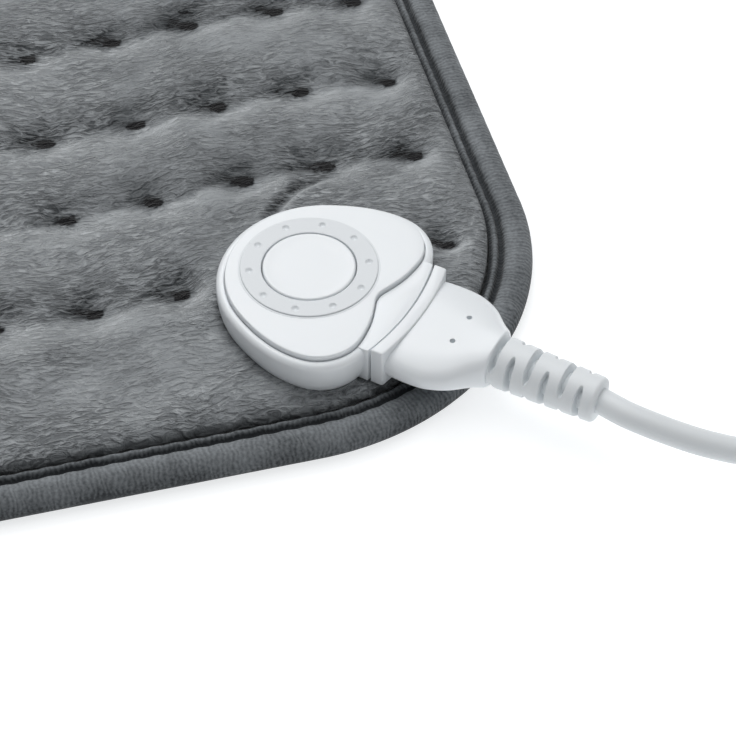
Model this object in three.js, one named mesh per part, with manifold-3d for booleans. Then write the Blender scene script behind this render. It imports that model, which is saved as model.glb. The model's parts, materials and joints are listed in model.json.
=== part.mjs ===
// A tufted heating pad with a plug-in coupling near one corner, a hand controller and a mains lead.
// Lengths are millimetres and +Z is up. The origin is the centre of the pad's underside, +X runs along
// its long edge and +Y runs from the front edge, where the coupling is, to the back edge.

import Module from 'manifold-3d';
import * as THREE from 'three';
import { mergeVertices } from 'three/addons/utils/BufferGeometryUtils.js';

const wasm = await Module();
wasm.setup();

// Clearances that every piece shares

const gap = 0.3; // left between pieces that touch
const overrun = 3; // how far a cut runs past what it cuts

// Rounding steps

const fineSteps = 28; // sides of a round piece that shows
const bootSteps = 20; // sides of the strain relief at the plug
const keySteps = 16; // sides of a key on the hand controller
const plainSteps = 10; // sides of a small or hidden round piece
const dimpleSteps = 8; // sides of a dimple or a post
const arcSteps = 4; // half the steps in each arc of an outline
const cordSides = 8;
const coilSides = 6;
const coilSteps = 20; // steps in each loop of a coil

// The pad: two plush covers round a fleece that carries the heating wire, bound at the edge

const pad = {
  length: 392,
  width: 310,
  cornerRadius: 70,
  bottomThickness: 1.5,
  fleeceThickness: 0.8,
  fleeceInset: 11,
  flangeThickness: 2.1,
  flangeWidth: 7,
  seatHeight: 8.7,
  crownHeight: 10.4,
  edgeHeight: 6.5,
  edgeSoftness: 7,
};

const binding = {
  width: 10,
  height: 7.5,
  slotDepth: 6,
  lipHeight: 6.3,
  roundSteps: 5,
};

const tuft = {
  pitchX: 23,
  pitchY: 33,
  frontBand: 55.2,
  backBand: 18,
  sideBand: 20,
  bottomHeight: 7.2,
  reachX: 6,
  reachY: 8,
  foldDepth: 0.9,
  foldReach: 8,
};

const wire = {
  radius: 0.8,
  endInset: 33,
  returnInset: 25,
  bendSteps: 6,
  sides: 6,
};

// The coupling on the pad: u runs along the plug from the dial's centre, v across it

const coupling = {
  fromSide: 62,
  fromFront: 44.95,
  turn: THREE.MathUtils.degToRad(-43.25),
  seatReach: 29.4,
  seatBlend: 8,
};

const housing = {
  backX: 4.75,
  backRadius: 26.8,
  lobeX: 10.7,
  lobeY: 15.05,
  lobeRadius: 13.55,
  rimHeight: 10,
  rimRound: 1.4,
  floorThickness: 1.2,
  wall: 3.4,
  frontWall: 8.6,
  rebateDepth: 0.8,
};

const collar = {
  halfWidth: 16.5,
  frontX: 27.4,
  faceRadius: 63,
  height: 10.3,
  round: 0.6,
};

const cover = {
  inset: 2.2,
  thickness: 2,
  topRound: 0.6,
  cuspX: 19.6,
  cuspHalf: 0.7,
  recessDepth: 1.1,
};

const dial = {
  outerRadius: 16.7,
  innerRadius: 11.6,
  height: 1.2,
  round: 0.35,
  dimples: 10,
  dimpleRadius: 0.95,
  dimpleCircle: 14.6,
  dimpleDepth: 0.45,
};

const releaseButton = {
  radius: 11.1,
  topAboveDial: 0.15,
  edgeRound: 0.6,
  flangeRadius: 13.2,
  flangeThickness: 0.8,
  wall: 1.2,
  roof: 1.4,
  stemRadius: 2.6,
};

const latch = {
  width: 4.2,
  thickness: 0.5,
  backX: -15.5,
  frontX: 14.2,
  bossHeight: 1.4,
  bossLength: 5,
  hookLength: 1.4,
  hookRise: 1.2,
};

const nose = {
  halfWidth: 12.4,
  height: 3.7,
  innerX: 11.3,
  sideRound: 1.2,
  bottomClearance: 0.3,
};

const contact = {
  places: [-9.4, -4.7, 4.7, 9.4],
  pinRadius: 0.7,
  pinTailX: 2.6,
  pinTipX: 21,
  shoulderRadius: 1.5,
  shoulderLength: 1,
  sleeveWall: 0.3,
  sleeveClearance: 0.15,
  sleeveLength: 13,
};

const terminalBlock = {
  backX: 4.6,
  frontX: 9.4,
  halfWidth: 12.6,
  topMargin: 0.2,
  tunnelHalfWidth: 3,
};

const smallScrew = {
  headRadius: 2.4,
  headHeight: 1.6,
  shankRadius: 1.2,
  slotWidth: 0.7,
  slotDepth: 0.6,
  holeClearance: 0.4,
};

const clampPlate = {
  thickness: 1.6,
  screwPlaces: [[-9, 13], [-9, -13], [13, 17], [13, -17]],
  margin: 3.5,
};

const fuse = { radius: 1.6, length: 9, x: -4, y: -8.5, capLength: 1.4, capRadius: 1.2 };

const wireEntry = { x: -1, y: 8.5, halfSpacing: 3, radius: 2 };

// The plug of the coupling, in the same u and v

const plug = {
  flangeThickness: 3.2,
  flangeHalfWidth: 16.3,
  faceGap: 0.5,
  topHeight: 10.8,
  bodyDrop: 0.6,
  dimpleDrop: 0.9,
  endX: 51.4,
  endHalfWidth: 7,
  axisHeight: 14.1,
  dimpleRadius: 0.7,
  dimpleX: 41,
  dimpleY: 4.35,
  sectionSteps: 20,
  sectionPower: 0.74,
  flangeShare: 0.33,
};

// Shares of the way from the flange to the end, of the half width, and of the drop to the end's height
const plugBodyShares = [
  [0, 1, 0],
  [0.1, 0.985, 0.02],
  [0.3, 0.965, 0.1],
  [0.5, 0.915, 0.2],
  [0.7, 0.765, 0.36],
  [0.88, 0.54, 0.62],
  [1, 0.43, 1],
];

const boot = {
  startRadius: 6.5,
  endRadius: 5.6,
  length: 26.6,
  coreRadius: 3.8,
  slotWidth: 1.7,
  slotPitch: 4.4,
  slots: 6,
  firstSlot: -0.1,
  bridgeHalf: 1.7,
  wideBridgeHalf: 2.6,
  endRound: 1.1,
};

// The cord and its coils

const cord = { diameter: 6.5, straightSteps: 3 };

const coil = {
  pitch: 7.05,
  layerStep: 7.05,
  climbShare: 0.25,
  tailSteps: 5,
};

const tie = { thickness: 0.8, width: 9, slack: 0.7, round: 2.5 };

const leadCoil = {
  beyondSide: 131,
  beyondFront: 5,
  innerRadius: 32,
  turns: 2.25,
  startAngle: -Math.PI / 2,
  startStraight: 6.5,
  endStraight: 20,
  tieAngle: 2.3,
};

const mainsCoil = {
  innerRadius: 26.1,
  turns: 7.25,
  startAngle: 0,
  startStraight: 6.5,
  endStraight: 34,
  tieAngle: 3.9,
};

const mainsCordLength = 38;

// The hand controller that lies on the lead

const handset = {
  length: 118,
  width: 46,
  height: 22.6,
  cornerRadius: 17,
  edgeRound: 5,
  wall: 2,
  innerRound: 3.4,
};

const board = {
  endMargin: 17,
  sideMargin: 6,
  cornerRadius: 3,
  thickness: 1.6,
  postHeight: 5,
  postRadius: 2.6,
  postInsetX: 5,
  postInsetY: 6,
};

const keypad = {
  travel: 0.6,
  capRise: 1,
  dish: 0.35,
  dishShare: 0.75,
  edgeRound: 0.6,
  flangeExtra: 1.3,
  flangeThickness: 1.2,
  stemRadius: 1.9,
  powerRadius: 7.4,
  stepRadius: 6.4,
  bossMargin: 0.9,
  coolerShare: 0.042,
  pitchShare: 0.186,
};

const keySwitch = { side: 6, bodyHeight: 3.4, plungerRadius: 1.7, plungerHeight: 0.9 };

const lamp = {
  radius: 1.7,
  rise: 0.3,
  pitch: 9,
  count: 3,
  flangeRadius: 2.7,
  flangeThickness: 1,
};

const caseScrew = { endMargin: 12, bossRadius: 3.4, headRecess: 1.2, bossHeight: 6.5, topGap: 3.2 };

const relief = {
  length: 28,
  baseRadius: 5.8,
  tipRadius: 4.3,
  neckRadius: 4.6,
  neckLength: 2.6,
  innerFlangeRadius: 6.2,
  innerFlangeThickness: 1.6,
  ribs: 4,
  grooveDepth: 0.6,
  grooveShare: 0.4,
  plainShare: 0.14,
};

// The mains plug

const mainsPlug = {
  length: 36,
  width: 35,
  height: 13.7,
  noseWidth: 27,
  tailWidth: 15,
  edgeRound: 2.4,
  pinRadius: 2,
  pinLength: 19,
  pinSpacing: 19,
  pinSleeveLength: 10,
  pinSleeveRadius: 1.9,
  pinRound: 1,
  pinSeat: 3,
};

// Shares of the plug's length, from the pins' face to the tail
const mainsPlugShares = { shoulder: 0.42, taperStart: 0.7 };

// Heights and places that follow from the sizes above

const tuftColumns = Math.floor((pad.length - 2 * tuft.sideBand) / tuft.pitchX) + 1;
const tuftRows = Math.floor((pad.width - tuft.frontBand - tuft.backBand) / tuft.pitchY) + 1;
const padSide = pad.length / 2;
const padFront = -pad.width / 2;
const couplingX = padSide - coupling.fromSide;
const couplingY = padFront + coupling.fromFront;
const fleeceBottom = pad.bottomThickness + gap;
const wireBottom = fleeceBottom + pad.fleeceThickness + gap;
const wireHeight = wireBottom + wire.radius;
const topCoverBottom = wireBottom + 2 * wire.radius + gap;
const housingBottom = pad.seatHeight + gap;
const housingFloor = housingBottom + housing.floorThickness;
const rimTop = housingBottom + housing.rimHeight;
const rebateFloor = rimTop - housing.rebateDepth;
const coverBottom = rebateFloor + gap;
const coverTop = coverBottom + cover.thickness;
const dialSeat = coverTop - cover.recessDepth;
const dialTop = dialSeat + gap + dial.height;
const buttonTop = dialTop + releaseButton.topAboveDial;
const latchSeat = housingFloor + latch.bossHeight;
const latchBottom = latchSeat + gap;
const latchTop = latchBottom + latch.thickness;
const noseBottom = latchTop + nose.bottomClearance;
const noseTop = noseBottom + nose.height;
const contactHeight = (noseBottom + noseTop) / 2;
const collarArcX = collar.frontX - collar.faceRadius;
const flangeInnerRadius = collar.faceRadius + plug.faceGap;
const flangeOuterRadius = flangeInnerRadius + plug.flangeThickness;
const cordRadius = cord.diameter / 2;
const coilHeight = cordRadius + tie.thickness + gap;
const caseSeam = coilHeight + coil.layerStep;
const boardLength = handset.length - 2 * board.endMargin;
const boardWidth = handset.width - 2 * board.sideMargin;
const caseScrewY = handset.length / 2 - caseScrew.endMargin;
const cornerShare = 0.3; // of a rounded edge, how far its middle lies inside the sharp corner

// Solids and shapes

function solid(geometry) {
  const bare = geometry.clone();
  bare.deleteAttribute('normal');
  bare.deleteAttribute('uv');
  const merged = mergeVertices(bare);
  const mesh = new wasm.Mesh({
    numProp: 3,
    vertProperties: new Float32Array(merged.attributes.position.array),
    triVerts: new Uint32Array(merged.index.array),
  });
  return new wasm.Manifold(mesh);
}

function geometryOf(shape) {
  const mesh = shape.getMesh();
  const geometry = new THREE.BufferGeometry();
  geometry.setAttribute('position', new THREE.BufferAttribute(mesh.vertProperties, mesh.numProp));
  geometry.setIndex(new THREE.BufferAttribute(mesh.triVerts, 1));
  geometry.computeVertexNormals();
  return geometry;
}

function join(first, ...others) {
  return others.reduce((whole, other) => whole.add(other), first);
}

function cut(first, ...others) {
  return others.reduce((whole, other) => whole.subtract(other), first);
}

// A flat piece of an outline between two heights, its upper and lower edges rounded
function slab(outline, low, high, round = 0, roundSteps = 2) {
  const geometry = new THREE.ExtrudeGeometry(outline, {
    depth: high - low - 2 * round,
    curveSegments: arcSteps,
    bevelEnabled: round > 0,
    bevelThickness: round,
    bevelSize: round,
    bevelOffset: -round,
    bevelSegments: roundSteps,
  });
  geometry.translate(0, 0, low + round);
  return solid(geometry);
}

function box(xLow, xHigh, yLow, yHigh, low, high) {
  const geometry = new THREE.BoxGeometry(xHigh - xLow, yHigh - yLow, high - low);
  geometry.translate((xLow + xHigh) / 2, (yLow + yHigh) / 2, (low + high) / 2);
  return solid(geometry);
}

// A turned piece about Z from its half section, given as radius and height pairs from bottom to top
function turned(section, steps = plainSteps) {
  const points = section.map(([radius, height]) => new THREE.Vector2(radius, height));
  const geometry = new THREE.LatheGeometry(points, steps);
  geometry.rotateX(Math.PI / 2);
  return geometry;
}

function rod(radius, low, high, x = 0, y = 0, steps = plainSteps) {
  const geometry = turned([[0, low], [radius, low], [radius, high], [0, high]], steps);
  geometry.translate(x, y, 0);
  return solid(geometry);
}

// A turned piece laid along X, its axis at a place across it and a height
function laidAlongX(geometry, y, height) {
  const laid = geometry.clone();
  laid.rotateY(Math.PI / 2);
  laid.translate(0, y, height);
  return laid;
}

function roundedRectangle(halfLength, halfWidth, radius) {
  const outline = new THREE.Shape();
  outline.absarc(halfLength - radius, halfWidth - radius, radius, 0, Math.PI / 2);
  outline.absarc(radius - halfLength, halfWidth - radius, radius, Math.PI / 2, Math.PI);
  outline.absarc(radius - halfLength, radius - halfWidth, radius, Math.PI, 1.5 * Math.PI);
  outline.absarc(halfLength - radius, radius - halfWidth, radius, 1.5 * Math.PI, 2 * Math.PI);
  outline.closePath();
  return outline;
}

// A closed surface through rings of points, with a fan over each end
function loft(rings) {
  const count = rings[0].length;
  const positions = rings.flat().flatMap((point) => [point.x, point.y, point.z]);
  const triangles = [];
  for (let ring = 0; ring < rings.length - 1; ring += 1) {
    for (let step = 0; step < count; step += 1) {
      const here = ring * count + step;
      const next = ring * count + ((step + 1) % count);
      triangles.push(here, next, next + count, here, next + count, here + count);
    }
  }
  const ends = [rings[0], rings[rings.length - 1]];
  ends.forEach((ring, end) => {
    const centre = ring.reduce((sum, point) => sum.add(point), new THREE.Vector3()).divideScalar(count);
    const hub = positions.length / 3;
    positions.push(centre.x, centre.y, centre.z);
    const offset = end === 0 ? 0 : (rings.length - 1) * count;
    for (let step = 0; step < count; step += 1) {
      const here = offset + step;
      const next = offset + ((step + 1) % count);
      triangles.push(...(end === 0 ? [hub, next, here] : [hub, here, next]));
    }
  });
  const geometry = new THREE.BufferGeometry();
  geometry.setAttribute('position', new THREE.Float32BufferAttribute(positions, 3));
  geometry.setIndex(triangles);
  return geometry;
}

// A route that visits its own points in turn, so that straight runs take few steps and bends take many
class Route extends THREE.Curve {
  constructor(points) {
    super();
    this.points = points;
  }

  getPointAt(share, target = new THREE.Vector3()) {
    return target.copy(this.points[Math.round(share * (this.points.length - 1))]);
  }

  getPoint(share, target) {
    return this.getPointAt(share, target);
  }

  getTangentAt(share, target = new THREE.Vector3()) {
    const last = this.points.length - 1;
    const place = Math.round(share * last);
    const ahead = this.points[Math.min(place + 1, last)];
    const behind = this.points[Math.max(place - 1, 0)];
    return target.subVectors(ahead, behind).normalize();
  }
}

function tube(points, radius, sides) {
  const section = new THREE.Shape();
  for (let side = 0; side < sides; side += 1) {
    const angle = (2 * Math.PI * side) / sides;
    const place = [radius * Math.cos(angle), radius * Math.sin(angle)];
    if (side === 0) section.moveTo(...place);
    else section.lineTo(...place);
  }
  section.closePath();
  return new THREE.ExtrudeGeometry(section, {
    steps: points.length - 1,
    extrudePath: new Route(points),
    bevelEnabled: false,
  });
}

// Materials and the scene graph

const finishes = {
  plush: [0x8b8f93, 0.95, 0],
  binding: [0x7a7f84, 0.9, 0],
  fleece: [0xd9d6cd, 0.95, 0],
  wire: [0xb5482f, 0.5, 0],
  whitePlastic: [0xeef2f4, 0.28, 0],
  dialPlastic: [0xdde2e5, 0.4, 0],
  softWhite: [0xe9edef, 0.5, 0],
  innerPlastic: [0xcfd2cc, 0.6, 0],
  steel: [0xb9bcc0, 0.3, 1],
  brass: [0xc9a653, 0.3, 1],
  boardGreen: [0x2f6b45, 0.55, 0],
  blackPlastic: [0x2a2c2e, 0.5, 0],
  lampAmber: [0xf2a23a, 0.25, 0],
  tieGrey: [0x5f6467, 0.7, 0],
};

function addPiece(parent, name, shape, finish) {
  const [color, roughness, metalness] = finishes[finish];
  const material = new THREE.MeshStandardMaterial({ color, roughness, metalness });
  const mesh = new THREE.Mesh(shape.isBufferGeometry ? shape : geometryOf(shape), material);
  mesh.name = name;
  parent.add(mesh);
  return mesh;
}

// Pad

function padOutline(inset) {
  return roundedRectangle(pad.length / 2 - inset, pad.width / 2 - inset, pad.cornerRadius - inset);
}

// How far a place lies inside the pad's outer edge
function depthInside(x, y) {
  const alongX = Math.abs(x) - (pad.length / 2 - pad.cornerRadius);
  const alongY = Math.abs(y) - (pad.width / 2 - pad.cornerRadius);
  const corner = Math.hypot(Math.max(alongX, 0), Math.max(alongY, 0));
  return pad.cornerRadius - corner - Math.min(Math.max(alongX, alongY), 0);
}

// 0 under the coupling, where the cover is pressed flat, rising to 1 beside it
function awayFromCoupling(x, y) {
  const fromDial = new THREE.Vector2(x - couplingX, y - couplingY);
  const place = fromDial.rotateAround(new THREE.Vector2(), -coupling.turn);
  const along = THREE.MathUtils.clamp(place.x, housing.backX, collar.frontX);
  const distance = Math.hypot(place.x - along, place.y);
  return THREE.MathUtils.smoothstep(distance, coupling.seatReach, coupling.seatReach + coupling.seatBlend);
}

function tuftColumn(index) {
  return (index - (tuftColumns - 1) / 2) * tuft.pitchX;
}

function tuftRow(index) {
  return padFront + tuft.frontBand + index * tuft.pitchY;
}

function plushHeight(x, y) {
  const column = Math.round(x / tuft.pitchX + (tuftColumns - 1) / 2);
  const row = Math.round((y - tuftRow(0)) / tuft.pitchY);
  const nearX = tuftColumn(THREE.MathUtils.clamp(column, 0, tuftColumns - 1));
  const nearY = tuftRow(THREE.MathUtils.clamp(row, 0, tuftRows - 1));
  const dip = Math.exp(-(((x - nearX) / tuft.reachX) ** 2) - ((y - nearY) / tuft.reachY) ** 2);
  const fold = Math.exp(-(((y - nearY) / tuft.foldReach) ** 2)) * (1 - dip);
  const tufted = pad.crownHeight - dip * (pad.crownHeight - tuft.bottomHeight) - fold * tuft.foldDepth;
  const free = THREE.MathUtils.lerp(pad.seatHeight, tufted, awayFromCoupling(x, y));
  const inner = Math.max(depthInside(x, y) - binding.width, 0);
  return free - (free - pad.edgeHeight) * Math.exp(-inner / pad.edgeSoftness);
}

// Places of the grid lines: one on each tuft, one halfway to the next, and so on to the edges
function gridLines(first, last, pitch, halfSpan) {
  const lines = [];
  const step = pitch / 2;
  for (let place = first - step; place > -halfSpan; place -= step) lines.unshift(place);
  for (let place = first; place < last + halfSpan; place += step) {
    if (place < halfSpan) lines.push(place);
  }
  return [-halfSpan, ...lines, halfSpan];
}

function topCoverField() {
  const xs = gridLines(tuftColumn(0), tuftColumn(tuftColumns - 1), tuft.pitchX, pad.length / 2);
  const ys = gridLines(tuftRow(0), tuftRow(tuftRows - 1), tuft.pitchY, pad.width / 2);
  const rings = xs.map((x) => [
    new THREE.Vector3(x, -pad.width / 2, topCoverBottom),
    new THREE.Vector3(x, pad.width / 2, topCoverBottom),
    ...ys.map((y) => new THREE.Vector3(x, y, plushHeight(x, y))).reverse(),
  ]);
  return solid(loft(rings));
}

// A rod through the cover at a place given along and across the coupling
function couplingRod(radius, low, high, [along, across]) {
  const geometry = turned([[0, low], [radius, low], [radius, high], [0, high]]);
  geometry.translate(along, across, 0);
  geometry.rotateZ(coupling.turn);
  geometry.translate(couplingX, couplingY, 0);
  return solid(geometry);
}

// The flat seat that the housing and the plug press into the plush
function couplingSeat() {
  const top = 2 * pad.crownHeight;
  const half = plug.flangeHalfWidth + gap;
  const under = slab(housingOutline(-gap), pad.seatHeight, top);
  const ahead = box(housing.lobeX, plug.endX, -half, half, pad.seatHeight, top);
  const seat = geometryOf(join(under, ahead));
  seat.rotateZ(coupling.turn);
  seat.translate(couplingX, couplingY, 0);
  return solid(seat);
}

function topCover() {
  const inside = slab(padOutline(binding.width + gap), topCoverBottom, 2 * pad.crownHeight);
  const field = topCoverField().intersect(inside);
  const flange = slab(
    padOutline(binding.width - binding.slotDepth + gap),
    wireBottom,
    wireBottom + pad.flangeThickness,
  );
  const flangeHole = slab(padOutline(binding.width + pad.flangeWidth), 0, topCoverBottom);
  const screwHoles = clampPlate.screwPlaces.map((place) =>
    couplingRod(smallScrew.shankRadius + smallScrew.holeClearance, 0, 2 * pad.crownHeight, place),
  );
  const entry = couplingRod(wireEntry.halfSpacing + wireEntry.radius, 0, 2 * pad.crownHeight, [
    wireEntry.x,
    wireEntry.y,
  ]);
  return cut(join(field, cut(flange, flangeHole)), couplingSeat(), ...screwHoles, entry);
}

// The binding's section as inset from the outer edge and height: round outside, a slot inside
function bindingSection() {
  const half = binding.height / 2;
  const section = [];
  for (let step = 0; step <= binding.roundSteps; step += 1) {
    const angle = Math.PI / 2 + (Math.PI * step) / binding.roundSteps;
    section.push([half + half * Math.cos(angle), half + half * Math.sin(angle)]);
  }
  const slotLow = wireBottom - gap;
  const slotHigh = wireBottom + pad.flangeThickness + gap;
  section.push([binding.width, 0]);
  section.push([binding.width, slotLow]);
  section.push([binding.width - binding.slotDepth, slotLow]);
  section.push([binding.width - binding.slotDepth, slotHigh]);
  section.push([binding.width, slotHigh]);
  section.push([binding.width, binding.lipHeight]);
  return section;
}

function edgeBinding() {
  const section = bindingSection();
  const rings = section.map(([inset, height]) =>
    padOutline(inset)
      .getPoints(arcSteps)
      .slice(0, -1)
      .map((point) => new THREE.Vector3(point.x, point.y, height)),
  );
  const count = rings[0].length;
  const positions = rings.flat().flatMap((point) => [point.x, point.y, point.z]);
  const triangles = [];
  rings.forEach((ring, index) => {
    const other = ((index + 1) % rings.length) * count;
    for (let step = 0; step < count; step += 1) {
      const next = (step + 1) % count;
      const here = index * count;
      triangles.push(here + step, other + step, other + next, here + step, other + next, here + next);
    }
  });
  const geometry = new THREE.BufferGeometry();
  geometry.setAttribute('position', new THREE.Float32BufferAttribute(positions, 3));
  geometry.setIndex(triangles);
  return solid(geometry);
}

function couplingPlace(along, across) {
  const place = new THREE.Vector2(along, across).rotateAround(new THREE.Vector2(), coupling.turn);
  return [place.x + couplingX, place.y + couplingY];
}

// The heating wire runs between the tuft rows, turns back at both ends and rises into the coupling
function heatingWire() {
  const runs = 2 * Math.floor((tuftRows - 1) / 2);
  const bendRadius = tuft.pitchY / 2;
  const side = padSide - wire.endInset - bendRadius;
  const back = padSide - wire.returnInset;
  const firstRun = tuftRow(0) + bendRadius;
  const lastRun = firstRun + (runs - 1) * tuft.pitchY;
  const corner = 2 * wire.radius;
  const clear = clampHalfWidth() + clampPlate.margin;
  const start = wireDrop(wireEntry.x - wireEntry.halfSpacing, clear);
  const end = wireDrop(wireEntry.x + wireEntry.halfSpacing, clear);
  const leaving = start[start.length - 1];
  const points = [...start];
  points.push([leaving[0] - corner, firstRun - corner, wireHeight]);
  points.push([leaving[0] - corner - bendRadius / 2, firstRun, wireHeight]);
  for (let run = 0; run < runs - 1; run += 1) {
    const hand = run % 2 === 0 ? -1 : 1;
    for (let step = 0; step <= wire.bendSteps; step += 1) {
      const angle = -Math.PI / 2 + (Math.PI * step) / wire.bendSteps;
      const x = hand * (side + bendRadius * Math.cos(angle));
      const y = firstRun + bendRadius + run * tuft.pitchY + bendRadius * Math.sin(angle);
      points.push([x, y, wireHeight]);
    }
  }
  points.push([back - corner, lastRun, wireHeight], [back, lastRun - corner, wireHeight]);
  points.push([back, firstRun + corner, wireHeight], [back - corner, firstRun, wireHeight]);
  points.push(...end.reverse());
  return tube(points.map((point) => new THREE.Vector3(...point)), wire.radius, wire.sides);
}

// One end of the wire: down from under the contacts, then out across the clamp plate's slot
function wireDrop(along, clear) {
  const top = couplingPlace(along, wireEntry.y);
  const foot = couplingPlace(along, wireEntry.y + 2 * wire.radius);
  const out = couplingPlace(along, clear);
  const endHeight = contactHeight - contact.shoulderRadius;
  return [
    [...top, endHeight],
    [...top, wireHeight + 2 * wire.radius],
    [...foot, wireHeight],
    [...out, wireHeight],
  ];
}

function buildPad() {
  const group = new THREE.Group();
  const under = slab(padOutline(binding.width + gap), 0, pad.bottomThickness);
  addPiece(group, 'pad_bottom_cover', under, 'plush');
  const fleece = slab(padOutline(pad.fleeceInset), fleeceBottom, fleeceBottom + pad.fleeceThickness);
  addPiece(group, 'element_carrier', fleece, 'fleece');
  addPiece(group, 'heating_wire', heatingWire(), 'wire');
  addPiece(group, 'pad_top_cover', topCover(), 'plush');
  addPiece(group, 'edge_binding', edgeBinding(), 'binding');
  return group;
}

// Coupling housing

// The housing seen from above: a round back that widens into two lobes, and a straight front
function housingOutline(inset, front) {
  const dx = housing.lobeX - housing.backX;
  const spread = Math.acos((housing.backRadius - housing.lobeRadius) / Math.hypot(dx, housing.lobeY));
  const tangent = Math.atan2(housing.lobeY, dx) + spread;
  const outline = new THREE.Shape();
  outline.absarc(housing.backX, 0, housing.backRadius - inset, tangent, 2 * Math.PI - tangent);
  outline.absarc(housing.lobeX, -housing.lobeY, housing.lobeRadius - inset, -tangent, 0);
  if (front) front(outline);
  outline.absarc(housing.lobeX, housing.lobeY, housing.lobeRadius - inset, 0, tangent);
  outline.closePath();
  return outline;
}

// The cover's front edge dips back to a soft notch between its two lobes
function coverOutline(inset) {
  const frontX = housing.lobeX + housing.lobeRadius - inset;
  const cuspX = cover.cuspX - (inset - cover.inset);
  const shoulder = housing.lobeY / 2;
  const waistX = (frontX + 2 * cuspX) / 3;
  return housingOutline(inset, (outline) => {
    outline.bezierCurveTo(frontX, -shoulder, waistX, -shoulder / 2, cuspX, -cover.cuspHalf);
    outline.lineTo(cuspX, cover.cuspHalf);
    outline.bezierCurveTo(waistX, shoulder / 2, frontX, shoulder, frontX, housing.lobeY);
  });
}

// A band between two heights whose outer face is an arc about the dial side
function arcFaced(backX, faceRadius, halfWidth, low, high, round) {
  const angle = Math.asin(halfWidth / faceRadius);
  const outline = new THREE.Shape();
  outline.moveTo(backX, -halfWidth);
  outline.absarc(collarArcX, 0, faceRadius, -angle, angle);
  outline.lineTo(backX, halfWidth);
  outline.closePath();
  return slab(outline, low, high, round);
}

function socketTunnel() {
  const half = nose.halfWidth + gap;
  const reach = collar.frontX + overrun;
  return box(housing.lobeX, reach, -half, half, noseBottom - gap, noseTop + gap);
}

function socketBase() {
  const body = slab(housingOutline(0), housingBottom, rimTop, housing.rimRound);
  const front = arcFaced(
    housing.lobeX,
    collar.faceRadius,
    collar.halfWidth,
    housingBottom,
    housingBottom + collar.height,
    collar.round,
  );
  const chamberFront = housing.lobeX + housing.lobeRadius - housing.frontWall;
  const reach = housing.backRadius + overrun;
  const chamber = slab(housingOutline(housing.wall), housingFloor, rimTop + overrun).intersect(
    box(-reach, chamberFront, -reach - overrun, reach + overrun, housingFloor, rimTop + overrun),
  );
  const rebate = slab(coverOutline(cover.inset - gap), rebateFloor, rimTop + overrun);
  const boss = box(
    latch.backX,
    latch.backX + latch.bossLength,
    -latch.width / 2,
    latch.width / 2,
    housingBottom,
    latchSeat,
  );
  const pilot = rod(
    smallScrew.shankRadius + smallScrew.holeClearance,
    housingFloor,
    latchSeat + overrun,
    latch.backX + latch.bossLength / 2,
  );
  const holeRadius = smallScrew.shankRadius + smallScrew.holeClearance;
  const screwHoles = clampPlate.screwPlaces.map(([x, y]) =>
    rod(holeRadius, housingBottom - overrun, housingFloor + overrun, x, y),
  );
  const headWells = clampPlate.screwPlaces.map(([x, y]) =>
    rod(smallScrew.headRadius + smallScrew.holeClearance, housingFloor, rimTop + overrun, x, y),
  );
  const entry = rod(
    wireEntry.halfSpacing + wireEntry.radius,
    housingBottom - overrun,
    housingFloor + overrun,
    wireEntry.x,
    wireEntry.y,
  );
  const hollow = cut(join(body, front), chamber, rebate, socketTunnel());
  return cut(join(hollow, boss), pilot, ...screwHoles, ...headWells, entry);
}

function socketCover() {
  const plate = slab(coverOutline(cover.inset), coverBottom, coverTop, cover.topRound, 1);
  const recess = rod(dial.outerRadius + gap, dialSeat, coverTop + overrun, 0, 0, fineSteps);
  const hole = rod(dial.innerRadius, coverBottom - overrun, coverTop + overrun, 0, 0, fineSteps);
  return cut(plate, recess, hole);
}

function dialRing() {
  const low = dialSeat + gap;
  const high = dialTop;
  const { outerRadius, innerRadius, round } = dial;
  const ring = solid(
    turned(
      [
        [innerRadius, low],
        [outerRadius, low],
        [outerRadius, high - round],
        [outerRadius - round, high],
        [innerRadius + round, high],
        [innerRadius, high - round],
        [innerRadius, low],
      ],
      fineSteps,
    ),
  );
  const dimples = Array.from({ length: dial.dimples }, (_, index) => {
    const angle = (2 * Math.PI * index) / dial.dimples;
    const place = [dial.dimpleCircle * Math.cos(angle), dial.dimpleCircle * Math.sin(angle)];
    return rod(dial.dimpleRadius, high - dial.dimpleDepth, high + overrun, ...place, dimpleSteps);
  });
  return cut(ring, ...dimples);
}

function releaseButtonCap() {
  const { radius, edgeRound, flangeRadius, flangeThickness, wall, roof, stemRadius } = releaseButton;
  const flangeTop = coverBottom - gap;
  const flangeLow = flangeTop - flangeThickness;
  return turned(
    [
      [0, latchTop + gap],
      [stemRadius, latchTop + gap],
      [stemRadius, buttonTop - roof],
      [radius - wall, buttonTop - roof],
      [radius - wall, flangeLow],
      [flangeRadius, flangeLow],
      [flangeRadius, flangeTop],
      [radius, flangeTop],
      [radius, buttonTop - edgeRound],
      [radius - edgeRound * cornerShare, buttonTop - edgeRound * cornerShare],
      [radius - edgeRound, buttonTop],
      [0, buttonTop],
    ],
    fineSteps,
  );
}

// A leaf fixed at its back end whose tip hooks up into the plug's nose; the button presses its middle
function latchSpring() {
  const half = latch.width / 2;
  const leaf = box(latch.backX, latch.frontX, -half, half, latchBottom, latchTop);
  const hookBack = latch.frontX - latch.hookLength;
  const hook = box(hookBack, latch.frontX, -half, half, latchBottom, latchTop + latch.hookRise);
  const hole = rod(
    smallScrew.shankRadius + gap,
    latchBottom - overrun,
    latchTop + overrun,
    latch.backX + latch.bossLength / 2,
  );
  return cut(join(leaf, hook), hole);
}

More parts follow.
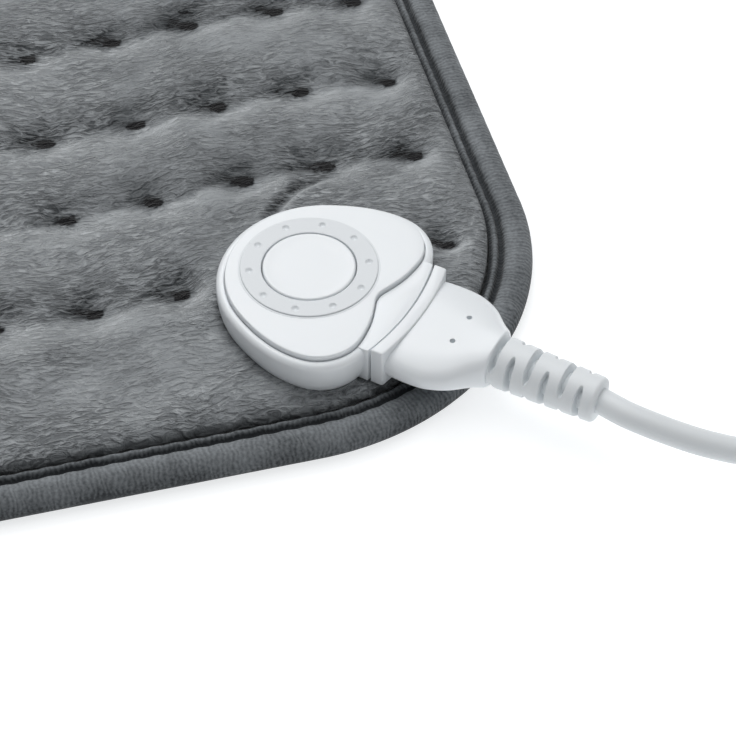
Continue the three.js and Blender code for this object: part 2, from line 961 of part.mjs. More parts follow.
// A slotted pan-head screw standing on its seat, its shank reaching down
function screw(seat, shankLength, x, y) {
  const { headRadius, headHeight, shankRadius, slotWidth, slotDepth } = smallScrew;
  const top = seat + gap + headHeight;
  const body = turned([
    [0, seat - shankLength],
    [shankRadius, seat - shankLength],
    [shankRadius, seat + gap],
    [headRadius, seat + gap],
    [headRadius, top - slotDepth],
    [headRadius - slotDepth, top],
    [0, top],
  ]);
  const reach = headRadius + overrun;
  const slot = box(-reach, reach, -slotWidth / 2, slotWidth / 2, top - slotDepth, top + overrun);
  const piece = geometryOf(cut(solid(body), slot));
  piece.translate(x, y, 0);
  return piece;
}

function terminalBlockBody() {
  const { backX, frontX, halfWidth, topMargin, tunnelHalfWidth } = terminalBlock;
  const top = noseTop - topMargin;
  const body = box(backX, frontX, -halfWidth, halfWidth, housingFloor + gap, top);
  const tunnel = box(
    backX - overrun,
    frontX + overrun,
    -tunnelHalfWidth,
    tunnelHalfWidth,
    housingFloor - overrun,
    latchTop + latch.thickness,
  );
  const bores = contact.places.map((place) =>
    solid(
      laidAlongX(
        turned([
          [0, backX - overrun],
          [contact.pinRadius + gap, backX - overrun],
          [contact.pinRadius + gap, frontX + overrun],
          [0, frontX + overrun],
        ]),
        place,
        contactHeight,
      ),
    ),
  );
  return cut(body, tunnel, ...bores);
}

function contactPin(place) {
  const { pinRadius, pinTailX, pinTipX, shoulderRadius, shoulderLength } = contact;
  const shoulder = terminalBlock.backX - gap;
  return laidAlongX(
    turned([
      [0, pinTailX],
      [pinRadius, pinTailX],
      [pinRadius, shoulder - shoulderLength],
      [shoulderRadius, shoulder - shoulderLength],
      [shoulderRadius, shoulder],
      [pinRadius, shoulder],
      [pinRadius, pinTipX - pinRadius],
      [pinRadius / 2, pinTipX - pinRadius / 4],
      [0, pinTipX],
    ]),
    place,
    contactHeight,
  );
}

function clampHalfWidth() {
  return Math.max(...clampPlate.screwPlaces.map(([, y]) => y)) + clampPlate.margin;
}

function clampPlateBody() {
  const xs = clampPlate.screwPlaces.map(([x]) => x);
  const halfLength = (Math.max(...xs) - Math.min(...xs)) / 2 + clampPlate.margin;
  const halfWidth = clampHalfWidth();
  const outline = roundedRectangle(halfLength, halfWidth, clampPlate.margin);
  const middle = (Math.max(...xs) + Math.min(...xs)) / 2;
  const geometry = geometryOf(slab(outline, wireBottom, wireBottom + clampPlate.thickness));
  geometry.translate(middle, 0, 0);
  const holes = clampPlate.screwPlaces.map(([x, y]) =>
    rod(smallScrew.shankRadius + gap, wireBottom - overrun, topCoverBottom + overrun, x, y),
  );
  const entryReach = wireEntry.halfSpacing + wireEntry.radius;
  const entry = box(
    wireEntry.x - entryReach,
    wireEntry.x + entryReach,
    wireEntry.y - entryReach,
    halfWidth + overrun,
    wireBottom - overrun,
    topCoverBottom + overrun,
  );
  return cut(solid(geometry), ...holes, entry);
}

function thermalFuse() {
  const { radius, length, x, y, capLength, capRadius } = fuse;
  const geometry = turned([
    [0, x - length / 2 - capLength],
    [capRadius / 2, x - length / 2 - capLength],
    [capRadius, x - length / 2],
    [radius, x - length / 2],
    [radius, x + length / 2],
    [capRadius, x + length / 2],
    [capRadius / 2, x + length / 2 + capLength],
    [0, x + length / 2 + capLength],
  ]);
  return laidAlongX(geometry, y, housingFloor + gap + radius);
}

function buildCoupling() {
  const group = new THREE.Group();
  group.position.set(couplingX, couplingY, 0);
  group.rotation.z = coupling.turn;
  addPiece(group, 'socket_base', socketBase(), 'whitePlastic');
  addPiece(group, 'socket_cover', socketCover(), 'whitePlastic');
  addPiece(group, 'dial_ring', dialRing(), 'dialPlastic');
  addPiece(group, 'release_button', releaseButtonCap(), 'whitePlastic');
  addPiece(group, 'latch_spring', latchSpring(), 'steel');
  const latchScrewX = latch.backX + latch.bossLength / 2;
  addPiece(group, 'latch_screw', screw(latchTop, latch.bossHeight, latchScrewX, 0), 'steel');
  addPiece(group, 'terminal_block', terminalBlockBody(), 'innerPlastic');
  contact.places.forEach((place, index) => {
    addPiece(group, `contact_pin_${index + 1}`, contactPin(place), 'brass');
  });
  addPiece(group, 'thermal_fuse', thermalFuse(), 'steel');
  addPiece(group, 'clamp_plate', clampPlateBody(), 'innerPlastic');
  const clampReach = housingFloor - wireBottom - gap;
  clampPlate.screwPlaces.forEach(([x, y], index) => {
    addPiece(group, `clamp_screw_${index + 1}`, screw(housingFloor, clampReach, x, y), 'steel');
  });
  return group;
}

// Coupling plug

// A section of the plug's body, between a circle and a rounded rectangle
function plugSection(x, halfWidth, low, high) {
  const points = [];
  for (let step = 0; step < plug.sectionSteps; step += 1) {
    const angle = (2 * Math.PI * step) / plug.sectionSteps;
    const across = Math.sign(Math.cos(angle)) * Math.abs(Math.cos(angle)) ** plug.sectionPower;
    const up = Math.sign(Math.sin(angle)) * Math.abs(Math.sin(angle)) ** plug.sectionPower;
    points.push(new THREE.Vector3(x, halfWidth * across, (low + high) / 2 + ((high - low) / 2) * up));
  }
  return points;
}

function plugShell() {
  const low = housingBottom;
  const high = housingBottom + plug.topHeight;
  const outer = arcFaced(housing.lobeX, flangeOuterRadius, plug.flangeHalfWidth, low, high, collar.round);
  const inner = arcFaced(
    housing.lobeX - overrun,
    flangeInnerRadius,
    plug.flangeHalfWidth + overrun,
    low - overrun,
    high + overrun,
    0,
  );
  const flange = cut(outer, inner);
  const startX = collarArcX + flangeInnerRadius + plug.flangeThickness * plug.flangeShare;
  const endLow = plug.axisHeight - boot.startRadius + gap;
  const endHigh = plug.axisHeight + boot.startRadius;
  const rings = plugBodyShares.map(([along, width, drop]) =>
    plugSection(
      THREE.MathUtils.lerp(startX, plug.endX, along),
      plug.flangeHalfWidth * width,
      THREE.MathUtils.lerp(low + gap, endLow, drop),
      THREE.MathUtils.lerp(high - plug.bodyDrop, endHigh, drop),
    ),
  );
  const trimmed = cut(solid(loft(rings)), inner);
  const dimples = [-plug.dimpleY, plug.dimpleY].map((y) =>
    rod(plug.dimpleRadius, high - plug.dimpleDrop, high + overrun, plug.dimpleX, y, dimpleSteps),
  );
  const socket = plugNoseBlank(gap);
  return cut(join(flange, trimmed), socket, ...dimples);
}

// The nose's outer block, grown by a margin to make its seat in the shell
function plugNoseBlank(margin) {
  const rootX = collarArcX + flangeOuterRadius + margin;
  const section = roundedRectangle(nose.height / 2 + margin, nose.halfWidth + margin, nose.sideRound);
  const geometry = new THREE.ExtrudeGeometry(section, {
    depth: rootX - nose.innerX,
    bevelEnabled: false,
    curveSegments: 2,
  });
  geometry.rotateY(Math.PI / 2);
  geometry.translate(nose.innerX, 0, contactHeight);
  return solid(geometry);
}

function plugNose() {
  const outerRadius = sleeveOuterRadius() + gap;
  const bores = contact.places.map((place) => {
    const far = nose.innerX + contact.sleeveLength + 2 * gap;
    return solid(
      laidAlongX(
        turned([
          [0, nose.innerX - overrun],
          [outerRadius, nose.innerX - overrun],
          [outerRadius, far],
          [0, far],
        ]),
        place,
        contactHeight,
      ),
    );
  });
  const catchBack = latch.frontX - latch.hookLength - gap;
  const notch = box(
    catchBack,
    latch.frontX + gap,
    -latch.width / 2 - gap,
    latch.width / 2 + gap,
    noseBottom - overrun,
    latchTop + latch.hookRise + gap,
  );
  return cut(plugNoseBlank(0), notch, ...bores);
}

function sleeveOuterRadius() {
  return contact.pinRadius + contact.sleeveClearance + contact.sleeveWall;
}

function contactSleeve(place) {
  const inner = contact.pinRadius + contact.sleeveClearance;
  const outer = sleeveOuterRadius();
  const start = nose.innerX + gap;
  const end = start + contact.sleeveLength;
  return laidAlongX(
    turned([
      [inner, start],
      [outer, start],
      [outer, end],
      [inner, end],
      [inner, start],
    ]),
    place,
    contactHeight,
  );
}

// The strain relief: slots open in turn above and below, then at the two sides, and leave narrow bridges
function strainRelief() {
  const start = plug.endX + gap;
  const end = start + boot.length;
  const body = turned([
    [0, start],
    [boot.startRadius - boot.endRound / 2, start],
    [boot.startRadius, start + boot.endRound],
    [boot.endRadius, end - boot.endRound],
    [boot.endRadius - boot.endRound, end],
    [0, end],
  ], bootSteps);
  let piece = solid(laidAlongX(body, 0, plug.axisHeight));
  const reach = boot.startRadius + overrun;
  for (let index = 0; index < boot.slots; index += 1) {
    const near = start + boot.firstSlot + boot.slotPitch * index;
    const ring = solid(
      laidAlongX(
        turned([
          [boot.coreRadius, near],
          [reach, near],
          [reach, near + boot.slotWidth],
          [boot.coreRadius, near + boot.slotWidth],
          [boot.coreRadius, near],
        ]),
        0,
        plug.axisHeight,
      ),
    );
    const level = index % 2 === 0;
    const halfY = level ? reach + overrun : boot.wideBridgeHalf;
    const halfZ = level ? boot.bridgeHalf : reach + overrun;
    const bridge = box(
      near - overrun,
      near + boot.slotWidth + overrun,
      -halfY,
      halfY,
      plug.axisHeight - halfZ,
      plug.axisHeight + halfZ,
    );
    piece = piece.subtract(ring.subtract(bridge));
  }
  return piece;
}

function buildPlug() {
  const group = new THREE.Group();
  group.position.set(couplingX, couplingY, 0);
  group.rotation.z = coupling.turn;
  addPiece(group, 'plug_shell', plugShell(), 'whitePlastic');
  addPiece(group, 'plug_nose', plugNose(), 'innerPlastic');
  contact.places.forEach((place, index) => {
    addPiece(group, `contact_sleeve_${index + 1}`, contactSleeve(place), 'brass');
  });
  addPiece(group, 'strain_relief', strainRelief(), 'softWhite');
  return group;
}

// Cord and coils

// The lead leaves the strain relief, sinks to the table and runs to its coil. Each place is given
// beyond the pad's side, beyond its front edge, and as a height.
const leadRoute = [
  [-0.6, 13.5, 13.6],
  [3.6, 16.7, 12.7],
  [9, 19.9, 11.2],
  [15.4, 22.9, 9.3],
  [23.6, 25.6, 7],
  [34, 28.6, 5],
  [46, 32, 3.7],
  [60, 35.8, 3.3],
  [76, 39.8, 3.3],
  [90, 42.7, 3.5],
  [101, 44.2, 3.8],
  [112, 44.8, 4.2],
];

function leadCord() {
  const group = new THREE.Group();
  const exit = couplingPlace(plug.endX + gap + boot.length + gap, 0);
  const start = new THREE.Vector3(exit[0], exit[1], plug.axisHeight);
  const heading = new THREE.Vector3(Math.cos(coupling.turn), Math.sin(coupling.turn), 0);
  const place = leadCoilShape();
  const coilStart = new THREE.Vector3(
    place.x - place.startStraight - gap,
    place.y - coilOuterRadius(place),
    coilHeight,
  );
  const along = leadRoute.map(
    ([side, front, height]) => new THREE.Vector3(padSide + side, padFront - front, height),
  );
  const second = start.clone().addScaledVector(heading, cord.diameter / 2);
  const beforeEnd = coilStart.clone().setX(coilStart.x - cord.diameter / 2);
  const curve = new THREE.CatmullRomCurve3([start, second, ...along, beforeEnd, coilStart]);
  const steps = Math.round(curve.getLength() / (2 * cord.diameter));
  const points = curve.getSpacedPoints(steps);
  points[1] = start.clone().addScaledVector(heading, points[1].distanceTo(start));
  addPiece(group, 'lead_cord', tube(points, cordRadius, cordSides), 'softWhite');
  return group;
}

function leadCoilShape() {
  return { ...leadCoil, x: padSide + leadCoil.beyondSide, y: padFront - leadCoil.beyondFront };
}

function coilOuterRadius(shape) {
  return shape.innerRadius + (shape.turns / 2) * coil.pitch;
}

// A coil spirals in over half its turns in one layer, climbs in the half turn about its middle and
// spirals out again in the other layer, so turns counts the loops and share 0 is its middle
function coilPoint(shape, turn, rising) {
  const fromMiddle = turn - shape.turns / 2;
  const radius = shape.innerRadius + Math.abs(fromMiddle) * coil.pitch;
  const angle = shape.startAngle + 2 * Math.PI * turn;
  const climb = THREE.MathUtils.smoothstep(fromMiddle, -coil.climbShare, coil.climbShare);
  const height = coilHeight + (rising ? climb : 1 - climb) * coil.layerStep;
  return new THREE.Vector3(shape.x + radius * Math.cos(angle), shape.y + radius * Math.sin(angle), height);
}

function coilPoints(shape, rising, endHeight) {
  const steps = Math.round(shape.turns * coilSteps);
  const loops = [];
  for (let step = 0; step <= steps; step += 1) {
    loops.push(coilPoint(shape, (shape.turns * step) / steps, rising));
  }
  const endAngle = shape.startAngle + 2 * Math.PI * shape.turns;
  const intoStart = new THREE.Vector3(-Math.sin(shape.startAngle), Math.cos(shape.startAngle), 0);
  const outOfEnd = new THREE.Vector3(-Math.sin(endAngle), Math.cos(endAngle), 0);
  const lead = loops[0].clone().addScaledVector(intoStart, -shape.startStraight);
  const last = loops[loops.length - 1];
  const tail = [];
  for (let step = 1; step <= coil.tailSteps; step += 1) {
    const share = step / coil.tailSteps;
    const point = last.clone().addScaledVector(outOfEnd, share * (shape.endStraight - cord.diameter));
    tail.push(point.setZ(THREE.MathUtils.lerp(last.z, endHeight, THREE.MathUtils.smoothstep(share, 0, 1))));
  }
  tail.push(tail[tail.length - 1].clone().addScaledVector(outOfEnd, cord.diameter));
  return [lead, ...loops, ...tail];
}

// The least clear distance between stretches of one cord that are more than half a loop apart
function leastSelfGap(points) {
  let least = Infinity;
  for (let first = 0; first < points.length; first += 1) {
    for (let second = first + coilSteps / 2; second < points.length; second += 1) {
      const start = points[second - 1];
      const line = new THREE.Line3(start, points[second]);
      const nearest = line.closestPointToPoint(points[first], true, new THREE.Vector3());
      least = Math.min(least, nearest.distanceTo(points[first]) - cord.diameter);
    }
  }
  return least;
}

function coilTie(shape) {
  const turns = [];
  const startTurn = (shape.tieAngle - shape.startAngle) / (2 * Math.PI);
  for (let turn = startTurn - Math.floor(startTurn); turn <= shape.turns; turn += 1) turns.push(turn);
  const middleTurn = shape.turns / 2;
  const radii = turns.map((turn) => shape.innerRadius + Math.abs(turn - middleTurn) * coil.pitch);
  const halfWidth = (Math.max(...radii) - Math.min(...radii)) / 2 + cordRadius + tie.slack;
  const middle = (Math.max(...radii) + Math.min(...radii)) / 2;
  const halfHeight = cordRadius + coil.layerStep / 2 + gap;
  const outline = roundedRectangle(halfHeight + tie.thickness, halfWidth + tie.thickness, tie.round);
  outline.holes.push(roundedRectangle(halfHeight, halfWidth, tie.round - tie.thickness));
  const geometry = new THREE.ExtrudeGeometry(outline, {
    depth: tie.width,
    bevelEnabled: false,
    curveSegments: 2,
  });
  geometry.translate(0, 0, -tie.width / 2);
  geometry.rotateY(Math.PI / 2);
  geometry.rotateZ(Math.PI / 2);
  geometry.translate(middle, 0, halfHeight + tie.thickness);
  geometry.rotateZ(shape.tieAngle);
  geometry.translate(shape.x, shape.y, 0);
  return geometry;
}

// Tapered, grooved strain relief on a housing: its neck passes the wall and its flange holds it inside
function reliefSection(inner) {
  const section = inner
    ? [
        [0, -relief.neckLength - relief.innerFlangeThickness],
        [relief.innerFlangeRadius, -relief.neckLength - relief.innerFlangeThickness],
        [relief.innerFlangeRadius, -relief.neckLength],
        [relief.neckRadius, -relief.neckLength],
        [relief.neckRadius, 0],
      ]
    : [[0, 0]];
  section.push([relief.baseRadius, 0]);
  const plain = relief.length * relief.plainShare;
  const pitch = (relief.length - 2 * plain) / relief.ribs;
  const taper = (relief.baseRadius - relief.tipRadius) / relief.length;
  const radiusAt = (place) => relief.baseRadius - taper * place;
  for (let rib = 0; rib < relief.ribs; rib += 1) {
    const start = plain + rib * pitch;
    const middle = start + (pitch * relief.grooveShare) / 2;
    const end = start + pitch * relief.grooveShare;
    section.push([radiusAt(start), start]);
    section.push([radiusAt(middle) - relief.grooveDepth, middle]);
    section.push([radiusAt(end), end]);
  }
  section.push([relief.tipRadius, relief.length], [0, relief.length]);
  return section;
}

// Hand controller

// Its own frame has the long side along Y and its middle at the origin
function handsetPlace() {
  const shape = leadCoilShape();
  const x = shape.x + coilOuterRadius(shape);
  const coilEnd = shape.y + shape.endStraight;
  return { x, y: coilEnd + gap + relief.length + handset.length / 2 };
}

function handsetBlank(inset, round, low, high) {
  const outline = roundedRectangle(
    handset.width / 2 - inset,
    handset.length / 2 - inset,
    handset.cornerRadius - inset,
  );
  return slab(outline, low, high, round, inset > 0 ? 1 : 2);
}

function handsetShellBlank() {
  const outer = handsetBlank(0, handset.edgeRound, 0, handset.height);
  const inner = handsetBlank(handset.wall, handset.innerRound, handset.wall, handset.height - handset.wall);
  const glandHole = turned([
    [0, -handset.length],
    [relief.neckRadius + gap, -handset.length],
    [relief.neckRadius + gap, handset.length],
    [0, handset.length],
  ]);
  glandHole.rotateX(Math.PI / 2);
  glandHole.translate(0, 0, caseSeam);
  return cut(outer, inner, solid(glandHole));
}

function halfSpace(low, high) {
  return box(-handset.width, handset.width, -handset.length, handset.length, low, high);
}

// Places along the hand controller, with the end keys held clear of the bosses
const freeHalf = caseScrewY - caseScrew.bossRadius - keypad.bossMargin;
const powerY = freeHalf - keypad.powerRadius - keypad.flangeExtra;
const stepKeyReach = keypad.stepRadius + keypad.flangeExtra;
const coolerY = stepKeyReach - freeHalf + handset.length * keypad.coolerShare;
const warmerY = coolerY + handset.length * keypad.pitchShare;
const lampY = (powerY - keypad.powerRadius - keypad.flangeExtra + warmerY + stepKeyReach) / 2;

const keys = [
  { name: 'power', y: powerY, radius: keypad.powerRadius },
  { name: 'warmer', y: warmerY, radius: keypad.stepRadius },
  { name: 'cooler', y: coolerY, radius: keypad.stepRadius },
];

const boardBottom = handset.wall + board.postHeight + gap;
const boardTop = boardBottom + board.thickness;
const caseRoof = handset.height - handset.wall;
const lowerBossTop = handset.wall + caseScrew.bossHeight;

function handsetLowerShell() {
  const shell = handsetShellBlank().intersect(halfSpace(-overrun, caseSeam - gap / 2));
  const halfX = boardWidth / 2 - board.postInsetX;
  const halfY = boardLength / 2 - board.postInsetY;
  const posts = [[-halfX, -halfY], [halfX, -halfY], [-halfX, halfY], [halfX, halfY]].map(([x, y]) =>
    rod(board.postRadius, handset.wall / 2, boardBottom - gap, x, y, dimpleSteps),
  );
  const bosses = [-caseScrewY, caseScrewY].map((y) =>
    rod(caseScrew.bossRadius, handset.wall / 2, lowerBossTop, 0, y),
  );
  const holes = [-caseScrewY, caseScrewY].flatMap((y) => [
    rod(smallScrew.shankRadius + smallScrew.holeClearance, -overrun, handset.height, 0, y),
    rod(smallScrew.headRadius + gap, -overrun, caseScrew.headRecess + smallScrew.headHeight, 0, y),
  ]);
  return cut(join(shell, ...posts, ...bosses), ...holes);
}

function handsetUpperShell() {
  const shell = handsetShellBlank().intersect(halfSpace(caseSeam + gap / 2, handset.height + overrun));
  const bosses = [-caseScrewY, caseScrewY].map((y) =>
    rod(caseScrew.bossRadius, lowerBossTop + gap, caseRoof + handset.wall / 2, 0, y),
  );
  const pilots = [-caseScrewY, caseScrewY].map((y) =>
    rod(smallScrew.shankRadius + gap, lowerBossTop - overrun, caseRoof - caseScrew.topGap + gap, 0, y),
  );
  const keyHoles = keys.map((key) =>
    rod(key.radius + gap, caseRoof - overrun, handset.height + overrun, 0, key.y, keySteps),
  );
  const lampHoles = lampPlaces().map((x) =>
    rod(lamp.radius + gap, caseRoof - overrun, handset.height + overrun, x, lampY),
  );
  return cut(join(shell, ...bosses), ...pilots, ...keyHoles, ...lampHoles);
}

function lampPlaces() {
  return Array.from({ length: lamp.count }, (_, index) => (index - (lamp.count - 1) / 2) * lamp.pitch);
}

function keyCap(key) {
  const flangeTop = caseRoof - gap;
  const top = handset.height + keypad.capRise;
  const stemEnd = boardTop + gap + keySwitch.bodyHeight + keySwitch.plungerHeight + gap + keypad.travel;
  const geometry = turned(
    [
      [0, stemEnd],
      [keypad.stemRadius, stemEnd],
      [keypad.stemRadius, flangeTop - keypad.flangeThickness],
      [key.radius + keypad.flangeExtra, flangeTop - keypad.flangeThickness],
      [key.radius + keypad.flangeExtra, flangeTop],
      [key.radius, flangeTop],
      [key.radius, top - keypad.edgeRound],
      [key.radius - keypad.edgeRound, top],
      [key.radius / 2, top - keypad.dish * keypad.dishShare],
      [0, top - keypad.dish],
    ],
    keySteps,
  );
  geometry.translate(0, key.y, 0);
  return geometry;
}

function keySwitchBody(key) {
  const half = keySwitch.side / 2;
  const low = boardTop + gap;
  const bodyTop = low + keySwitch.bodyHeight;
  const body = box(-half, half, key.y - half, key.y + half, low, bodyTop);
  const plunger = rod(keySwitch.plungerRadius, bodyTop - gap, bodyTop + keySwitch.plungerHeight, 0, key.y);
  return join(body, plunger);
}

function lampGuide(x) {
  const flangeTop = caseRoof - gap;
  const top = handset.height + lamp.rise;
  const geometry = turned(
    [
      [0, boardTop + gap],
      [lamp.radius, boardTop + gap],
      [lamp.radius, flangeTop - lamp.flangeThickness],
      [lamp.flangeRadius, flangeTop - lamp.flangeThickness],
      [lamp.flangeRadius, flangeTop],
      [lamp.radius, flangeTop],
      [lamp.radius, handset.height],
      [lamp.radius / 2, top],
      [0, top],
    ],
  );
  geometry.translate(x, lampY, 0);
  return geometry;
}

function caseScrewBody(y) {
  const { headRadius, headHeight, shankRadius } = smallScrew;
  const low = caseScrew.headRecess - gap;
  const geometry = turned(
    [
      [0, low],
      [headRadius, low],
      [headRadius, low + headHeight],
      [shankRadius, low + headHeight],
      [shankRadius, caseRoof - caseScrew.topGap],
      [0, caseRoof - caseScrew.topGap],
    ],
  );
  geometry.translate(0, y, 0);
  return geometry;
}

function handsetRelief(side) {
  const geometry = turned(reliefSection(true), plainSteps);
  geometry.rotateX(side > 0 ? -Math.PI / 2 : Math.PI / 2);
  geometry.translate(0, side * (handset.length / 2 + gap), caseSeam);
  return geometry;
}

function buildHandset() {
  const group = new THREE.Group();
  const place = handsetPlace();
  group.position.set(place.x, place.y, 0);
  addPiece(group, 'handset_lower_shell', handsetLowerShell(), 'whitePlastic');
  addPiece(group, 'handset_upper_shell', handsetUpperShell(), 'whitePlastic');
  const boardOutline = roundedRectangle(boardWidth / 2, boardLength / 2, board.cornerRadius);
  addPiece(group, 'circuit_board', slab(boardOutline, boardBottom, boardTop), 'boardGreen');
  keys.forEach((key) => {
    addPiece(group, `${key.name}_button`, keyCap(key), 'dialPlastic');
    addPiece(group, `${key.name}_switch`, keySwitchBody(key), 'blackPlastic');
  });
  lampPlaces().forEach((x, index) => {
    addPiece(group, `level_lamp_${index + 1}`, lampGuide(x), 'lampAmber');
  });
  [-caseScrewY, caseScrewY].forEach((y, index) => {
    addPiece(group, `case_screw_${index + 1}`, caseScrewBody(y), 'steel');
  });
  addPiece(group, 'handset_relief_pad_side', handsetRelief(-1), 'softWhite');
  addPiece(group, 'handset_relief_mains_side', handsetRelief(1), 'softWhite');
  return group;
}

// Leads, coils and the mains plug

function mainsCoilShape() {
  const place = handsetPlace();
  const cordStart = place.y + handset.length / 2 + gap + relief.length + gap;
  const shape = { ...mainsCoil, x: 0, y: 0 };
  shape.x = place.x - coilOuterRadius(shape);
  shape.y = cordStart + mainsCordLength + gap + shape.startStraight;
  return { shape, cordStart, cordX: place.x };
}

function mainsPlugBody() {
  const { length, width, noseWidth, tailWidth, height, edgeRound } = mainsPlug;
  const shoulder = length * mainsPlugShares.shoulder;
  const taper = length * mainsPlugShares.taperStart;
  const half = width / 2;
  const outline = new THREE.Shape();
  outline.moveTo(0, -noseWidth / 2);
  outline.quadraticCurveTo(0, -half, shoulder, -half);
  outline.quadraticCurveTo(taper, -half, length, -tailWidth / 2);
  outline.lineTo(length, tailWidth / 2);
  outline.quadraticCurveTo(taper, half, shoulder, half);
  outline.quadraticCurveTo(0, half, 0, noseWidth / 2);
  outline.closePath();
  const body = slab(outline, 0, height, edgeRound);
  const seats = [-1, 1].map((side) =>
    solid(
      laidAlongX(
        turned([
          [0, -overrun],
          [mainsPlug.pinRadius + gap, -overrun],
          [mainsPlug.pinRadius + gap, mainsPlug.pinSeat + gap],
          [0, mainsPlug.pinSeat + gap],
        ]),
        (side * mainsPlug.pinSpacing) / 2,
        height / 2,
      ),
    ),
  );
  return cut(body, ...seats);
}

function mainsPin(side) {
  const { pinRadius, pinLength, pinSleeveLength, pinSleeveRadius, pinRound, pinSeat } = mainsPlug;
  return laidAlongX(
    turned(
      [
        [0, -pinLength],
        [pinRadius - pinRound, -pinLength],
        [pinRadius, pinRound - pinLength],
        [pinRadius, -pinSleeveLength],
        [pinSleeveRadius, -pinSleeveLength],
        [pinSleeveRadius, 0],
        [pinRadius, 0],
        [pinRadius, pinSeat],
        [0, pinSeat],
      ],
    ),
    (side * mainsPlug.pinSpacing) / 2,
    mainsPlug.height / 2,
  );
}

function buildLeads() {
  const group = new THREE.Group();
  const leadShape = leadCoilShape();
  const leadPoints = coilPoints(leadShape, true, caseSeam);
  const { shape, cordStart, cordX } = mainsCoilShape();
  const mainsPoints = coilPoints(shape, false, mainsPlug.height / 2);
  addPiece(group, 'lead_coil', tube(leadPoints, cordRadius, coilSides), 'softWhite');
  addPiece(group, 'lead_tie', coilTie(leadShape), 'tieGrey');
  const straight = [];
  for (let step = 0; step <= cord.straightSteps; step += 1) {
    const y = cordStart + (step / cord.straightSteps) * mainsCordLength;
    straight.push(new THREE.Vector3(cordX, y, caseSeam));
  }
  addPiece(group, 'mains_cord', tube(straight, cordRadius, cordSides), 'softWhite');
  addPiece(group, 'mains_coil', tube(mainsPoints, cordRadius, coilSides), 'softWhite');
  addPiece(group, 'mains_tie', coilTie(shape), 'tieGrey');
  console.log(`least gap of the lead's coil to itself: ${leastSelfGap(leadPoints).toFixed(2)} mm`);
  console.log(`least gap of the mains coil to itself: ${leastSelfGap(mainsPoints).toFixed(2)} mm`);
  group.add(buildMainsPlug(mainsPoints[mainsPoints.length - 1]));
  return group;
}

// The plug lies on the table on its flat side, and the coil's end rises to it
function buildMainsPlug(cordEnd) {
  const group = new THREE.Group();
  const tailX = cordEnd.x - gap - relief.length - gap;
  group.position.set(tailX - mainsPlug.length, cordEnd.y, 0);
  const reliefBody = turned(reliefSection(false), plainSteps);
  reliefBody.rotateY(Math.PI / 2);
  reliefBody.translate(mainsPlug.length + gap, 0, mainsPlug.height / 2);
  addPiece(group, 'mains_plug_body', mainsPlugBody(), 'whitePlastic');
  addPiece(group, 'mains_plug_relief', reliefBody, 'softWhite');
  [-1, 1].forEach((side, index) => {
    addPiece(group, `mains_pin_${index + 1}`, mainsPin(side), 'steel');
  });
  return group;
}

const heatingPad = new THREE.Group();
heatingPad.add(buildPad());
heatingPad.add(buildCoupling());
heatingPad.add(buildPlug());
heatingPad.add(leadCord());
heatingPad.add(buildHandset());
heatingPad.add(buildLeads());

export default heatingPad;
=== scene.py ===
"""Looks of a tufted heating pad with a plug-in coupling, a hand controller and a mains lead.

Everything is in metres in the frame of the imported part: the origin is the centre of the pad's
underside, X runs along its long edge and Y from the front edge to the back edge.
"""

import json
import logging
import math
from collections.abc import Callable, Sequence
from dataclasses import dataclass, field
from enum import Enum

import bmesh
import bpy
import numpy as np
from mathutils import Matrix, Vector, noise


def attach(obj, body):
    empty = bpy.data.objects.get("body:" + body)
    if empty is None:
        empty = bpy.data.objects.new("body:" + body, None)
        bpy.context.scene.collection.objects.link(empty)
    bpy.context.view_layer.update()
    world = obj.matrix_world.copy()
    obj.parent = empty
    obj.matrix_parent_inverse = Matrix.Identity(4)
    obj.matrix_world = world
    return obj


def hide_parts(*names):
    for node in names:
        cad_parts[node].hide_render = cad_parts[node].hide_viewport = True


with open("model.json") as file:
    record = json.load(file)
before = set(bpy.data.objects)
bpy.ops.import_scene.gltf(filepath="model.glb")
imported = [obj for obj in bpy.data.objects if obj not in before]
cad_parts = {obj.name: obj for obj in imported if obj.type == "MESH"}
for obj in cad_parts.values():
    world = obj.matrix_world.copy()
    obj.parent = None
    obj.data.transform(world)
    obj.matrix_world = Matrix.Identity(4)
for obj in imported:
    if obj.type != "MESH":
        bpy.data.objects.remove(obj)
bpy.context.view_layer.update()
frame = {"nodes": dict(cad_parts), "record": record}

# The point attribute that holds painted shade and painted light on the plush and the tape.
PAINTED_SHADE_NAME = "painted_shade"
RUN_NAME = "edge_run"
LOG = logging.getLogger("heating_pad")
MM = 0.001
TAU = 2 * math.pi


class Body(Enum):
    """The bodies that pieces ride on."""

    PAD = "pad"
    LEAD = "lead"
    RELEASE = "release_button"
    POWER = "power_button"
    WARMER = "warmer_button"
    COOLER = "cooler_button"


class Slot(Enum):
    """The material slots of the record."""

    PLUSH = "plush_cover"
    BINDING = "binding_tape"
    FLEECE = "fleece_carrier"
    WIRE = "heating_wire"
    WHITE = "white_plastic"
    DIAL = "dial_plastic"
    SOFT_WHITE = "soft_white"
    INNER = "inner_plastic"
    STEEL = "steel"
    BRASS = "brass"
    BOARD = "board_green"
    BLACK = "black_plastic"
    LAMP = "lamp_amber"
    TIE = "tie_grey"


class Level(Enum):
    """Where a strain relief's slot is open."""

    TOP_AND_BOTTOM = "top_and_bottom"
    SIDES = "sides"


# Node graphs


